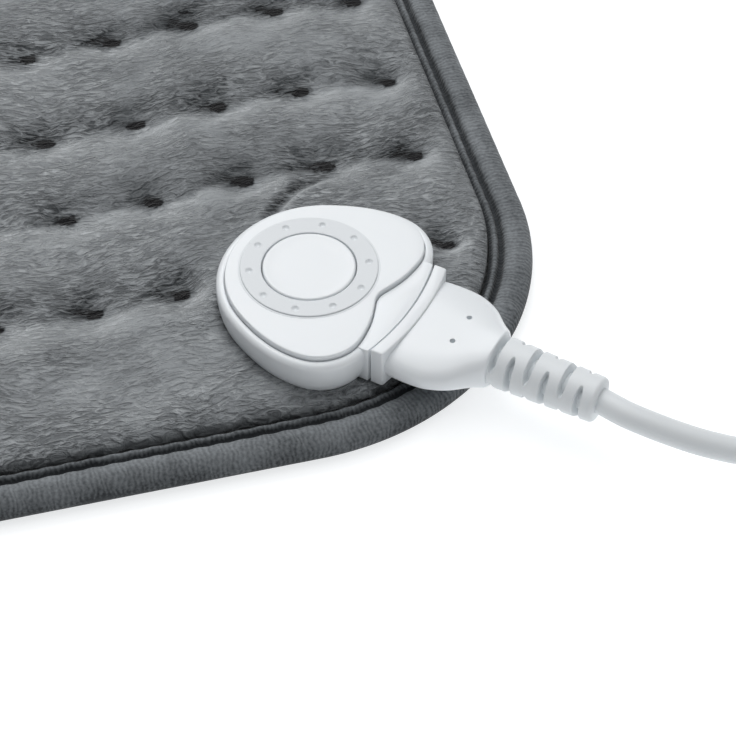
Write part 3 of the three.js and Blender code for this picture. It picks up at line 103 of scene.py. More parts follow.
class Graph:
    """A material's nodes, added one at a time."""

    def __init__(self, name: str) -> None:
        """Starts a material that has only its surface shader.

        Args:
            name: The material's name.
        """
        self.material = bpy.data.materials.new(name)
        self.material.use_nodes = True
        self.tree = self.material.node_tree
        self.shader = self.tree.nodes["Principled BSDF"]
        self.shader.distribution = "MULTI_GGX"

    def add(self, kind: str, **values: object) -> bpy.types.Node:
        """Adds a node.

        Args:
            kind: The node's type without its ShaderNode prefix.
            values: Properties of the node.

        Returns:
            The node.
        """
        node = self.tree.nodes.new(f"ShaderNode{kind}")
        for name, value in values.items():
            setattr(node, name, value)
        return node

    def link(self, source: bpy.types.NodeSocket, target: bpy.types.NodeSocket) -> None:
        """Links two sockets."""
        self.tree.links.new(source, target)

    def place(self, scale: Sequence[float] = (1, 1, 1), turn: float = 0) -> bpy.types.NodeSocket:
        """The surface's place on the object, stretched and turned.

        Args:
            scale: How much each axis is multiplied by.
            turn: Rotation about Z in radians.

        Returns:
            The socket of the stretched place.
        """
        coordinates = self.add("TexCoord")
        mapping = self.add("Mapping")
        mapping.inputs["Scale"].default_value = scale
        mapping.inputs["Rotation"].default_value = (0, 0, turn)
        self.link(coordinates.outputs["Object"], mapping.inputs["Vector"])
        return mapping.outputs["Vector"]

    def noise(
        self,
        place: bpy.types.NodeSocket,
        scale: float,
        detail: float = 3,
        distortion: float = 0,
    ) -> bpy.types.NodeSocket:
        """Soft noise at a place.

        Args:
            place: Where it is read.
            scale: Cells in a metre.
            detail: Octaves.
            distortion: How far the cells are pulled about.

        Returns:
            The noise, from 0 to 1.
        """
        node = self.add("TexNoise")
        node.inputs["Scale"].default_value = scale
        node.inputs["Detail"].default_value = detail
        node.inputs["Distortion"].default_value = distortion
        self.link(place, node.inputs["Vector"])
        return node.outputs["Fac"]

    def ramp(
        self,
        value: bpy.types.NodeSocket,
        stops: Sequence[tuple[float, Sequence[float]]],
    ) -> bpy.types.NodeSocket:
        """Colours along a value.

        Args:
            value: The socket that picks the colour.
            stops: Places from 0 to 1 and their colours.

        Returns:
            The colour.
        """
        node = self.add("ValToRGB")
        elements = node.color_ramp.elements
        while len(elements) < len(stops):
            elements.new(0.5)
        for element, (position, colour) in zip(elements, stops, strict=True):
            element.position = position
            element.color = (*colour, 1)
        self.link(value, node.inputs["Fac"])
        return node.outputs["Color"]

    def span(
        self, value: bpy.types.NodeSocket, low: float, high: float, start: float = 0, end: float = 1
    ) -> bpy.types.NodeSocket:
        """Maps a value from a range to low and high.

        Args:
            value: The socket to map.
            low: What the start of the range becomes.
            high: What the end of the range becomes.
            start: The start of the range.
            end: The end of the range.

        Returns:
            The mapped value.
        """
        node = self.add("MapRange")
        node.inputs["From Min"].default_value = start
        node.inputs["From Max"].default_value = end
        node.inputs["To Min"].default_value = low
        node.inputs["To Max"].default_value = high
        self.link(value, node.inputs["Value"])
        return node.outputs["Result"]

    def combine(
        self, operation: str, first: bpy.types.NodeSocket, second: bpy.types.NodeSocket
    ) -> bpy.types.NodeSocket:
        """Makes one value of two.

        Args:
            operation: What is done with them.
            first: The first value.
            second: The second value.

        Returns:
            The result.
        """
        node = self.add("Math", operation=operation)
        self.link(first, node.inputs[0])
        self.link(second, node.inputs[1])
        return node.outputs[0]

    def sum(self, first: bpy.types.NodeSocket, second: bpy.types.NodeSocket) -> bpy.types.NodeSocket:
        """Adds two values."""
        return self.combine("ADD", first, second)

    def product(self, first: bpy.types.NodeSocket, second: bpy.types.NodeSocket) -> bpy.types.NodeSocket:
        """Multiplies two values."""
        return self.combine("MULTIPLY", first, second)

    def bump(
        self,
        height: bpy.types.NodeSocket,
        depth: float,
        strength: float,
        below: bpy.types.NodeSocket | None = None,
    ) -> bpy.types.NodeSocket:
        """Fine relief on the surface.

        Args:
            height: The relief, from 0 to 1.
            depth: Its depth in metres.
            strength: How strongly it shows.
            below: A coarser relief that it is laid over.

        Returns:
            The normal.
        """
        node = self.add("Bump")
        node.inputs["Distance"].default_value = depth
        node.inputs["Strength"].default_value = strength
        self.link(height, node.inputs["Height"])
        if below is not None:
            self.link(below, node.inputs["Normal"])
        return node.outputs["Normal"]

    def finish(
        self,
        colour: bpy.types.NodeSocket,
        roughness: bpy.types.NodeSocket,
        normal: bpy.types.NodeSocket | None = None,
    ) -> bpy.types.Material:
        """Links the main sockets and hands over the material.

        Args:
            colour: The base colour.
            roughness: The roughness.
            normal: The normal, if there is any relief.

        Returns:
            The material.
        """
        self.link(colour, self.shader.inputs["Base Color"])
        self.link(roughness, self.shader.inputs["Roughness"])
        if normal is not None:
            self.link(normal, self.shader.inputs["Normal"])
        return self.material


Pair = tuple[float, float]
Triple = tuple[float, float, float]
Colour = Triple


def toned(colour: Colour, share: float) -> Colour:
    """A colour made darker or lighter by a share."""
    red, green, blue = (min(channel * share, 1) for channel in colour)
    return (red, green, blue)


@dataclass(frozen=True)
class PlushFinish:
    """Short plush: combed ripples of nap, with painted light on slopes facing the back and painted shade on
    slopes facing the front, partly for the pile's lean.
    """

    # pit is the black that the painted shadow in the tufts' pits reaches.
    pit: Colour = (0.003, 0.003, 0.004)
    dark: Colour = (0.048, 0.053, 0.057)
    middle: Colour = (0.258, 0.273, 0.285)
    light: Colour = (0.515, 0.537, 0.555)
    # Slopes that face this way get painted light, slopes that face away painted shade.
    pale_facing: Triple = (-0.42, 0.86, 0.0)
    swirl_scale: float = 22
    swirl: Pair = (0.01, -0.028)
    stretch: Triple = (1, 2.9, 1)
    comb_turn: float = 0.22
    ripple_scale: float = 300
    ripple_depth: float = 1.2 * MM
    comb_scale: float = 36
    grain_scale: float = 1500
    grain_depth: float = 0.25 * MM
    patch_scale: float = 60
    sheen: float = 0.2

    def material(self) -> bpy.types.Material:
        """Builds the finish.

        Returns:
            The material.
        """
        graph = Graph("plush")
        swirl = graph.noise(graph.place(), self.swirl_scale, 2)
        bent = graph.add("VectorMath", operation="ADD")
        graph.link(graph.place(self.stretch, self.comb_turn), bent.inputs[0])
        push = graph.add("CombineXYZ")
        for axis, reach in zip("XY", self.swirl, strict=True):
            graph.link(graph.span(swirl, -reach, reach), push.inputs[axis])
        graph.link(push.outputs["Vector"], bent.inputs[1])
        ripples = graph.noise(bent.outputs["Vector"], self.ripple_scale, 3, 1.1)
        combed = graph.noise(graph.place(), self.comb_scale, 2, 0.5)
        strength = graph.span(combed, 0.3, 1.35, 0.32, 0.66)
        wave = graph.product(graph.span(ripples, -0.68, 0.6, 0.3, 0.7), strength)
        grain = graph.noise(graph.place(), self.grain_scale, 2, 0.3)
        patches = graph.noise(graph.place(), self.patch_scale, 3, 0.6)
        # Painted light and shade by slope: paler facing the back, darker facing the front, partly for the
        # pile's lean.
        normal = graph.add("NewGeometry")
        facing = graph.add("VectorMath", operation="DOT_PRODUCT")
        graph.link(normal.outputs["Normal"], facing.inputs[0])
        facing.inputs[1].default_value = self.pale_facing
        slope_shade = graph.span(facing.outputs["Value"], -0.26, 0.34, -0.42, 0.42)
        shade = graph.add("Attribute", attribute_name=PAINTED_SHADE_NAME)
        tone = graph.sum(
            graph.sum(graph.span(wave, 0.33, 0.67, -0.5, 0.5), slope_shade),
            graph.sum(
                graph.span(grain, -0.035, 0.035, 0.3, 0.7),
                graph.span(patches, -0.06, 0.06, 0.3, 0.7),
            ),
        )
        # The stored painted shade darkens the tone and its painted light lifts it.
        tone = graph.sum(tone, graph.span(shade.outputs["Fac"], 1.1, -1.1, -1, 1))
        stops = [(0.0, self.pit), (0.12, self.dark), (0.5, self.middle), (1.0, self.light)]
        colour = graph.ramp(tone, stops)
        coarse = graph.bump(graph.span(wave, 0, 1, -0.5, 0.5), self.ripple_depth, 0.7)
        fine = graph.bump(grain, self.grain_depth, 0.35, coarse)
        graph.shader.inputs["Sheen Weight"].default_value = self.sheen
        graph.shader.inputs["Sheen Roughness"].default_value = 0.5
        graph.shader.inputs["Specular IOR Level"].default_value = 0.15
        return graph.finish(colour, graph.span(ripples, 0.8, 0.98), fine)


@dataclass(frozen=True)
class TapeFinish:
    """Ribbed edge tape whose ribs cross it; they follow the run that the mesh stores."""

    dark: Colour = (0.03, 0.034, 0.038)
    light: Colour = (0.236, 0.253, 0.267)
    rib_pitch: float = 1.24 * MM
    rib_depth: float = 0.2 * MM
    wander_scale: float = 260
    wander: float = 1.6 * MM
    fuzz_scale: float = 1400
    fuzz_depth: float = 0.25 * MM
    patch_scale: float = 70

    def material(self) -> bpy.types.Material:
        """Builds the finish.

        Returns:
            The material.
        """
        graph = Graph("edge_tape")
        run = graph.add("Attribute", attribute_name=RUN_NAME)
        shade = graph.add("Attribute", attribute_name=PAINTED_SHADE_NAME)
        wander = graph.span(graph.noise(graph.place(), self.wander_scale), -self.wander, self.wander)
        cycles = graph.add("Math", operation="MULTIPLY")
        graph.link(graph.sum(run.outputs["Fac"], wander), cycles.inputs[0])
        cycles.inputs[1].default_value = TAU / self.rib_pitch
        wave = graph.add("Math", operation="SINE")
        graph.link(cycles.outputs[0], wave.inputs[0])
        ribs = graph.span(wave.outputs[0], 0, 1, -1, 1)
        fuzz = graph.noise(graph.place(), self.fuzz_scale)
        patches = graph.noise(graph.place(), self.patch_scale)
        # The stored painted shade darkens the seam grooves and the low outer side, and its painted light
        # lifts the top.
        tone = graph.sum(
            graph.sum(graph.span(ribs, 0.04, 0.24), graph.span(shade.outputs["Fac"], 1, -1, -1, 1)),
            graph.sum(graph.span(fuzz, 0.04, 0.36, 0.3, 0.7), graph.span(patches, 0, 0.42, 0.3, 0.7)),
        )
        colour = graph.ramp(tone, [(0.1, self.dark), (1.0, self.light)])
        coarse = graph.bump(ribs, self.rib_depth, 0.45)
        fine = graph.bump(fuzz, self.fuzz_depth, 0.5, coarse)
        graph.shader.inputs["Sheen Weight"].default_value = 0.15
        graph.shader.inputs["Specular IOR Level"].default_value = 0.2
        return graph.finish(colour, graph.span(fuzz, 0.78, 0.95), fine)


@dataclass(frozen=True)
class MouldedFinish:
    """Moulded plastic with a fine eroded grain and a slightly uneven gloss."""

    name: str
    colour: Colour
    roughness: float = 0.33
    grain_scale: float = 2600
    grain_depth: float = 0.02 * MM
    coat: float = 0
    subsurface: float = 0
    cloud_scale: float = 38
    scatter: Colour = (1.2 * MM, 1.1 * MM, MM)

    def material(self) -> bpy.types.Material:
        """Builds the finish.

        Returns:
            The material.
        """
        graph = Graph(self.name)
        grain = graph.noise(graph.place(), self.grain_scale, 2)
        cloud = graph.noise(graph.place(), self.cloud_scale)
        colour = graph.ramp(cloud, [(0.3, toned(self.colour, 0.975)), (0.7, self.colour)])
        both = graph.sum(graph.span(grain, 0, 0.06), graph.span(cloud, -0.03, 0.05))
        level = graph.span(both, self.roughness - 0.04, self.roughness + 0.06, -0.03, 0.11)
        graph.shader.inputs["Coat Weight"].default_value = self.coat
        graph.shader.inputs["Subsurface Weight"].default_value = self.subsurface
        graph.shader.inputs["Subsurface Radius"].default_value = self.scatter
        graph.shader.inputs["Subsurface Scale"].default_value = 1
        return graph.finish(colour, level, graph.bump(grain, self.grain_depth, 0.35))


@dataclass(frozen=True)
class MetalFinish:
    """Plated or turned metal with fine tool marks."""

    name: str
    colour: Colour
    roughness: float = 0.26
    stretch: Triple = (1, 1, 14)
    mark_scale: float = 900
    mark_depth: float = 0.02 * MM
    cloud_scale: float = 160

    def material(self) -> bpy.types.Material:
        """Builds the finish.

        Returns:
            The material.
        """
        graph = Graph(self.name)
        marks = graph.noise(graph.place(self.stretch), self.mark_scale, 4)
        cloud = graph.noise(graph.place(), self.cloud_scale, 2)
        colour = graph.ramp(cloud, [(0.25, toned(self.colour, 0.82)), (0.75, self.colour)])
        graph.shader.inputs["Metallic"].default_value = 1
        level = graph.span(marks, self.roughness - 0.08, self.roughness + 0.14)
        return graph.finish(colour, level, graph.bump(marks, self.mark_depth, 0.3))


@dataclass(frozen=True)
class FibreFinish:
    """Matted or woven fibres, crossed in two directions."""

    name: str
    colour: Colour
    scale: float = 700
    depth: float = 0.25 * MM

    def material(self) -> bpy.types.Material:
        """Builds the finish.

        Returns:
            The material.
        """
        graph = Graph(self.name)
        along = graph.noise(graph.place((1, 6, 3)), self.scale, 4, 0.5)
        across = graph.noise(graph.place((6, 1, 3)), self.scale, 4, 0.5)
        weave = graph.combine("MAXIMUM", along, across)
        colour = graph.ramp(weave, [(0.35, toned(self.colour, 0.7)), (0.75, self.colour)])
        graph.shader.inputs["Sheen Weight"].default_value = 0.15
        return graph.finish(colour, graph.span(weave, 0.75, 0.95), graph.bump(weave, self.depth, 0.5))


@dataclass(frozen=True)
class LampFinish:
    """A clear amber light guide."""

    colour: Colour = (0.9, 0.42, 0.06)
    clearness: float = 0.35
    coat: float = 0.3
    cloud_scale: float = 700

    def material(self) -> bpy.types.Material:
        """Builds the finish.

        Returns:
            The material.
        """
        graph = Graph("lamp_amber")
        cloud = graph.noise(graph.place(), self.cloud_scale, 2)
        colour = graph.ramp(cloud, [(0.3, toned(self.colour, 0.85)), (0.7, self.colour)])
        graph.shader.inputs["Transmission Weight"].default_value = self.clearness
        graph.shader.inputs["Coat Weight"].default_value = self.coat
        return graph.finish(colour, graph.span(cloud, 0.12, 0.22))


@dataclass(frozen=True)
class BoardFinish:
    """Solder mask over faint copper tracks."""

    mask: Colour = (0.02, 0.13, 0.055)
    track: Colour = (0.04, 0.22, 0.09)
    track_scale: float = 120
    track_width: float = 0.08
    track_depth: float = 0.03 * MM

    def material(self) -> bpy.types.Material:
        """Builds the finish.

        Returns:
            The material.
        """
        graph = Graph("board_green")
        bricks = graph.add("TexBrick")
        bricks.inputs["Scale"].default_value = self.track_scale
        bricks.inputs["Mortar Size"].default_value = self.track_width
        bricks.inputs["Color1"].default_value = (*self.mask, 1)
        bricks.inputs["Color2"].default_value = (*toned(self.mask, 0.85), 1)
        bricks.inputs["Mortar"].default_value = (*self.track, 1)
        graph.link(graph.place(), bricks.inputs["Vector"])
        tracks = bricks.outputs["Fac"]
        relief = graph.bump(tracks, self.track_depth, 0.4)
        return graph.finish(bricks.outputs["Color"], graph.span(tracks, 0.3, 0.42), relief)


@dataclass(frozen=True)
class FloorFinish:
    """A pale matt table top."""

    colour: Colour = (0.44, 0.447, 0.453)
    glow: float = 0.75
    glow_tint: Colour = (0.975, 0.99, 1)
    cloud_scale: float = 3

    def material(self) -> bpy.types.Material:
        """Builds the finish; a faint glow keeps the shadows on it pale.

        Returns:
            The material.
        """
        graph = Graph("table")
        graph.shader.inputs["Emission Color"].default_value = (*self.glow_tint, 1)
        graph.shader.inputs["Emission Strength"].default_value = self.glow
        cloud = graph.noise(graph.place(), self.cloud_scale, 2)
        colour = graph.ramp(cloud, [(0.3, toned(self.colour, 0.995)), (0.7, self.colour)])
        return graph.finish(colour, graph.span(cloud, 0.75, 0.85))


WHITE: Colour = (0.83, 0.86, 0.885)
PALE: Colour = (0.735, 0.765, 0.79)
SOFT_WHITE: Colour = (0.78, 0.81, 0.83)

FINISHES: dict[Slot, object] = {
    Slot.PLUSH: PlushFinish(),
    Slot.BINDING: TapeFinish(),
    Slot.FLEECE: FibreFinish("fleece", (0.69, 0.66, 0.6), 500, 0.4 * MM),
    Slot.WIRE: MouldedFinish("wire_jacket", (0.46, 0.065, 0.028), 0.45, 1500),
    Slot.WHITE: MouldedFinish("white_plastic", WHITE, 0.3, coat=0.12, subsurface=0.06),
    Slot.DIAL: MouldedFinish("dial_plastic", PALE, 0.44, 1900, 0.05 * MM),
    Slot.SOFT_WHITE: MouldedFinish("soft_white", SOFT_WHITE, 0.42, 1600, 0.04 * MM, subsurface=0.08),
    Slot.INNER: MouldedFinish("inner_plastic", (0.62, 0.64, 0.6), 0.55, 1400, 0.05 * MM),
    Slot.STEEL: MetalFinish("steel", (0.62, 0.63, 0.65)),
    Slot.BRASS: MetalFinish("brass", (0.76, 0.56, 0.2), 0.22),
    Slot.BOARD: BoardFinish(),
    Slot.BLACK: MouldedFinish("black_plastic", (0.022, 0.023, 0.025), 0.42),
    Slot.LAMP: LampFinish(),
    Slot.TIE: FibreFinish("tie_weave", (0.115, 0.125, 0.13), 900, 0.3 * MM),
}


class Paint:
    """The materials of the slots, each built once."""

    def __init__(self) -> None:
        """Builds every slot's material."""
        self.materials = {slot: finish.material() for slot, finish in FINISHES.items()}

    def dress(self, piece: bpy.types.Object, slot: Slot) -> None:
        """Gives a piece the finish of a slot.

        Args:
            piece: The piece.
            slot: Its slot.
        """
        piece.data.materials.clear()
        piece.data.materials.append(self.materials[slot])

    def dress_nodes(self) -> None:
        """Gives every carried-over solid the finish of its own slot."""
        for part in frame["record"]["subparts"]:
            self.dress(frame["nodes"][part["node"]], Slot(part["material_slot"]))


# Meshes

Points = np.ndarray
Faces = list[tuple[int, ...]]


def add_mesh(name: str, points: Points, faces: Faces, crease: float = 40) -> bpy.types.Object:
    """Adds a mesh object, smooth except over its creases.

    Args:
        name: The piece's name.
        points: Its vertices in metres, in rows of three.
        faces: Its faces.
        crease: The angle in degrees from which an edge stays sharp.

    Returns:
        The object.
    """
    mesh = bpy.data.meshes.new(name)
    mesh.from_pydata([tuple(map(float, point)) for point in points], [], faces)
    mesh.update()
    piece = bpy.data.objects.new(name, mesh)
    bpy.context.scene.collection.objects.link(piece)
    smooth(piece, crease)
    return piece


def store(piece: bpy.types.Object, name: str, values: Points) -> None:
    """Keeps one number for each point of a mesh; the points after the last given one get zero.

    Args:
        piece: The mesh object.
        name: The attribute's name.
        values: The numbers.
    """
    column = np.zeros(len(piece.data.vertices), np.float32)
    column[: len(values)] = values
    piece.data.attributes.new(name, "FLOAT", "POINT").data.foreach_set("value", column)


def smooth(piece: bpy.types.Object, crease: float = 40) -> None:
    """Shades a mesh smooth except over edges that are sharper than the crease angle.

    Args:
        piece: The mesh object.
        crease: The angle in degrees from which an edge stays sharp.
    """
    form = bmesh.new()
    form.from_mesh(piece.data)
    bmesh.ops.recalc_face_normals(form, faces=form.faces)
    limit = math.radians(crease)
    for face in form.faces:
        face.smooth = True
    for edge in form.edges:
        edge.smooth = len(edge.link_faces) == 2 and edge.calc_face_angle(0) < limit
    form.to_mesh(piece.data)
    form.free()


def settle(piece: bpy.types.Object) -> None:
    """Applies a piece's modifiers to its mesh.

    Args:
        piece: The mesh object.
    """
    bpy.context.view_layer.update()
    graph = bpy.context.evaluated_depsgraph_get()
    mesh = bpy.data.meshes.new_from_object(piece.evaluated_get(graph))
    old = piece.data
    piece.modifiers.clear()
    piece.data = mesh
    bpy.data.meshes.remove(old)


def cut(piece: bpy.types.Object, *tools: bpy.types.Object) -> bpy.types.Object:
    """Takes closed tools out of a piece and removes the tools.

    Args:
        piece: The mesh object.
        tools: Closed meshes.

    Returns:
        The piece.
    """
    for tool in tools:
        change = piece.modifiers.new("cut", "BOOLEAN")
        change.operation = "DIFFERENCE"
        change.object = tool
        change.solver = "EXACT"
    settle(piece)
    for tool in tools:
        bpy.data.objects.remove(tool)
    smooth(piece)
    return piece


def stack_faces(rings: int, count: int, closed: bool = False) -> Faces:
    """Quads between rings of points.

    Args:
        rings: How many rings there are.
        count: How many points a ring has.
        closed: Whether the last ring joins the first.

    Returns:
        The faces.
    """
    faces: Faces = []
    for ring in range(rings if closed else rings - 1):
        low = ring * count
        high = (ring + 1) % rings * count
        for step in range(count):
            after = (step + 1) % count
            faces.append((low + step, low + after, high + after, high + step))
    return faces


def stack(rings: Sequence[Points], closed: bool = False) -> tuple[Points, Faces]:
    """A surface through rings, with a fan over each end unless it closes on itself.

    Args:
        rings: Rings of the same number of points.
        closed: Whether the last ring joins the first.

    Returns:
        The points and the faces.
    """
    count = len(rings[0])
    points = np.concatenate(rings)
    faces = stack_faces(len(rings), count, closed=closed)
    if closed:
        return points, faces
    hubs = np.array([rings[0].mean(axis=0), rings[-1].mean(axis=0)])
    low, high = len(points), len(points) + 1
    last = (len(rings) - 1) * count
    for step in range(count):
        after = (step + 1) % count
        faces.append((low, after, step))
        faces.append((high, last + step, last + after))
    return np.concatenate([points, hubs]), faces


def lathe(profile: Sequence[Pair], steps: int) -> tuple[Points, Faces]:
    """Turns a profile of radius and height pairs about Z.

    Args:
        profile: The half section in millimetres, from bottom to top.
        steps: Steps round the axis.

    Returns:
        The points in millimetres and the faces.
    """
    angles = np.arange(steps) * TAU / steps
    rings = [
        np.stack([radius * np.cos(angles), radius * np.sin(angles), np.full(steps, height)], axis=1)
        for radius, height in profile
    ]
    return stack(rings)


def rolled(high: float, edge: float, steps: int) -> list[Pair]:
    """Insets and heights that round the upper edge of a wall."""
    angles = [math.pi / 2 * step / steps for step in range(steps + 1)]
    return [(edge * (1 - math.cos(angle)), high - edge * (1 - math.sin(angle))) for angle in angles]


def rounded(low: float, high: float, edge: float, steps: int = 5) -> list[Pair]:
    """Insets and heights that round the two edges of a wall."""
    top = rolled(high, edge, steps)
    return [(inset, low + high - height) for inset, height in reversed(top)] + top


def arc(x: float, y: float, radius: float, start: float, end: float, steps: int = 40) -> Points:
    """Points of an arc about a centre."""
    angles = np.linspace(start, end, steps)
    return np.stack([x + radius * np.cos(angles), y + radius * np.sin(angles)], axis=1)


def straight(start: Points, end: Points) -> Points:
    """Points between two places."""
    shares = np.linspace(0, 1, 40)[:, None]
    return start * (1 - shares) + end * shares


def blend(first: Points, leave: float, last: Points, meet: float) -> Points:
    """A soft curve from one arc to the next, both counterclockwise, between their points at two angles.

    Args:
        first: The first arc's last point.
        leave: That point's angle.
        last: The next arc's first point.
        meet: That point's angle.

    Returns:
        The points between the two.
    """
    out, into = ([-math.sin(angle), math.cos(angle)] for angle in (leave, meet))
    corner = first + np.array(out) * np.linalg.solve(np.column_stack([out, into]), last - first)[0]
    shares = np.linspace(0, 1, 60)[1:-1, None]
    return (1 - shares) ** 2 * first + 2 * shares * (1 - shares) * corner + shares**2 * last


def bezier(*corners: Pair, steps: int = 30) -> Points:
    """Points of a quadratic or cubic curve through its corner points.

    Args:
        corners: Its corner points.
        steps: How many points it gets.

    Returns:
        The points.
    """
    shares = np.linspace(0, 1, steps)[:, None]
    rows = [np.array(corner, float)[None, :] * np.ones_like(shares) for corner in corners]
    while len(rows) > 1:
        rows = [first * (1 - shares) + second * shares for first, second in zip(rows, rows[1:])]
    return rows[0]


def round_rectangle(half_x: float, half_y: float, radius: float, steps: int = 14) -> Points:
    """Points of a rectangle with round corners, counter-clockwise.

    Args:
        half_x: Half its size along X.
        half_y: Half its size along Y.
        radius: The radius of its corners.
        steps: Points in each corner.

    Returns:
        The points.
    """
    quarter = math.pi / 2
    parts = []
    for turn, (way_x, way_y) in enumerate([(1, 1), (-1, 1), (-1, -1), (1, -1)]):
        x, y = way_x * (half_x - radius), way_y * (half_y - radius)
        parts.append(arc(x, y, radius, turn * quarter, (turn + 1) * quarter, steps))
    return np.concatenate(parts)


def even(outline: Points, count: int) -> Points:
    """The same closed outline with evenly spaced points.

    Args:
        outline: The outline.
        count: How many points it gets.

    Returns:
        The points.
    """
    loop = np.concatenate([outline, outline[:1]])
    run = np.concatenate([[0], np.cumsum(np.linalg.norm(np.diff(loop, axis=0), axis=1))])
    places = np.arange(count) * run[-1] / count
    return np.stack([np.interp(places, run, loop[:, axis]) for axis in (0, 1)], axis=1)


def shrink(outline: Points, inset: float) -> Points:
    """An outline moved inwards along its own normals.

    Args:
        outline: A counter-clockwise outline.
        inset: How far it moves.

    Returns:
        The points.
    """
    before, after = np.roll(outline, 1, axis=0), np.roll(outline, -1, axis=0)
    along = after - before
    along /= np.linalg.norm(along, axis=1)[:, None]
    return outline + inset * np.stack([-along[:, 1], along[:, 0]], axis=1)


def polar(outline: Points, centre: Pair, count: int) -> Points:
    """The same outline with one point in each of evenly spread directions from a centre.

    Args:
        outline: The outline.
        centre: The centre.
        count: How many points it gets.

    Returns:
        The points.
    """
    offset = outline - np.array(centre)
    angle = np.unwrap(np.arctan2(offset[:, 1], offset[:, 0]))
    radius = np.linalg.norm(offset, axis=1)
    order = np.argsort(angle)
    angle, radius = angle[order], radius[order]
    angle = np.concatenate([angle - TAU, angle, angle + TAU])
    radius = np.tile(radius, 3)
    ways = np.arange(count) * TAU / count
    reach = np.interp(ways, angle, radius)
    return np.stack([centre[0] + reach * np.cos(ways), centre[1] + reach * np.sin(ways)], axis=1)


def at_height(outline: Points, height: float | Points) -> Points:
    """An outline's points at a height."""
    return np.column_stack([outline, np.broadcast_to(height, len(outline))])


def slab(outline: Points, low: float, high: float, edge: float, steps: int = 5) -> tuple[Points, Faces]:
    """A flat piece with rounded edges."""
    return stack([at_height(shrink(outline, inset), z) for inset, z in rounded(low, high, edge, steps)])


@dataclass(frozen=True)
class Placement:
    """Where a sub-assembly's own frame lies, in millimetres and radians about Z."""

    x: float = 0
    y: float = 0
    turn: float = 0
    z: float = 0

    def points(self, local: Points) -> Points:
        """Local points in millimetres as points of the whole object in metres.

        Args:
            local: Points in rows of three.

        Returns:
            The points of the whole object.
        """
        cos, sin = math.cos(self.turn), math.sin(self.turn)
        x = local[:, 0] * cos - local[:, 1] * sin + self.x
        y = local[:, 0] * sin + local[:, 1] * cos + self.y
        return np.stack([x, y, local[:, 2] + self.z], axis=1) * MM

    def point(self, x: float, y: float, z: float) -> Triple:
        """One local point as a point of the whole object in metres."""
        place = self.points(np.array([[x, y, z]], float))[0]
        return (float(place[0]), float(place[1]), float(place[2]))


def laid_along_x(points: Points, y: float, height: float) -> Points:
    """A turned piece's points with its axis laid along X."""
    return np.stack([points[:, 2], points[:, 1] + y, height - points[:, 0]], axis=1)


def laid_along_y(points: Points, way: int, start: float, height: float) -> Points:
    """A turned piece's points with its axis laid along Y, pointing one way or the other."""
    return np.stack([points[:, 0] * way, points[:, 2] * way + start, height + points[:, 1]], axis=1)


@dataclass
class Assembly:
    """What the sub-assemblies share: the paint and how a piece is kept."""

    paint: Paint

    def keep(self, piece: bpy.types.Object, body: Body, slot: Slot, *nodes: str) -> None:
        """Dresses a piece, lets it ride and says which nodes it stands for.

        Args:
            piece: The finished piece.
            body: The body that it rides on.
            slot: Its finish.
            nodes: The nodes that it replaces.
        """
        self.paint.dress(piece, slot)
        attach(piece, body.value)
        if nodes:
            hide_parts(*nodes)
        LOG.info("%s rides on %s and stands for %s", piece.name, body.value, ", ".join(nodes) or "no node")


# Sizes that several sub-assemblies share, in millimetres

GAP = 0.3
COUPLING = Placement(134.0, -110.05, math.radians(-43.25))
HOUSING_BOTTOM = 9.0
CORD_RADIUS = 3.25
COIL_HEIGHT = 4.35
LAYER_STEP = 7.05
COIL_PITCH = 7.05
COIL_START = 6.5
CASE_SEAM = COIL_HEIGHT + LAYER_STEP
BOOT_END = 78.3
PLUG_AXIS = 14.1


# Cords


@dataclass(frozen=True)
class Coil:
    """A flat coil of two layers that winds inwards in one and outwards in the other."""

    x: float
    y: float
    inner_radius: float
    turns: float
    start_angle: float
    start_straight: float
    end_straight: float
    rising: bool
    end_height: float
    tie_angle: float
    pitch: float = COIL_PITCH
    steps: int = 48
    tail_steps: int = 6

    @property
    def outer_radius(self) -> float:
        """The radius of the outermost turn."""
        return self.inner_radius + self.turns / 2 * self.pitch

    def loop_point(self, turn: float) -> Triple:
        """The centre line after a number of turns.

        Args:
            turn: How many turns.

        Returns:
            The place.
        """
        from_middle = turn - self.turns / 2
        radius = self.inner_radius + abs(from_middle) * self.pitch
        angle = self.start_angle + TAU * turn
        climb = soft(from_middle, -0.25, 0.25)
        height = COIL_HEIGHT + (climb if self.rising else 1 - climb) * LAYER_STEP
        return (self.x + radius * math.cos(angle), self.y + radius * math.sin(angle), height)

    def route(self) -> list[Triple]:
        """The whole centre line, with the straight ends.

        Returns:
            Its places.
        """
        steps = round(self.turns * self.steps)
        loops = [self.loop_point(self.turns * step / steps) for step in range(steps + 1)]
        end_angle = self.start_angle + TAU * self.turns
        first, last = loops[0], loops[-1]
        start = (
            first[0] + math.sin(self.start_angle) * self.start_straight,
            first[1] - math.cos(self.start_angle) * self.start_straight,
            first[2],
        )
        tail = []
        for step in range(1, self.tail_steps + 1):
            share = step / self.tail_steps
            away = self.end_straight * share
            x, y = last[0] - math.sin(end_angle) * away, last[1] + math.cos(end_angle) * away
            tail.append((x, y, last[2] + (self.end_height - last[2]) * soft(share, 0, 0.85)))
        return [start, *loops, *tail]


def soft(values: float | Points, low: float, high: float) -> float | Points:
    """0 below low and 1 above high, with a soft rise between."""
    share = np.clip((values - low) / (high - low), 0, 1)
    return share * share * (3 - 2 * share)


def smooth_bump(value: float, middle: float, half: float) -> float:
    """1 at the middle and 0 from half a width away."""
    return 1 - soft(abs(value - middle), 0.3 * half, half)


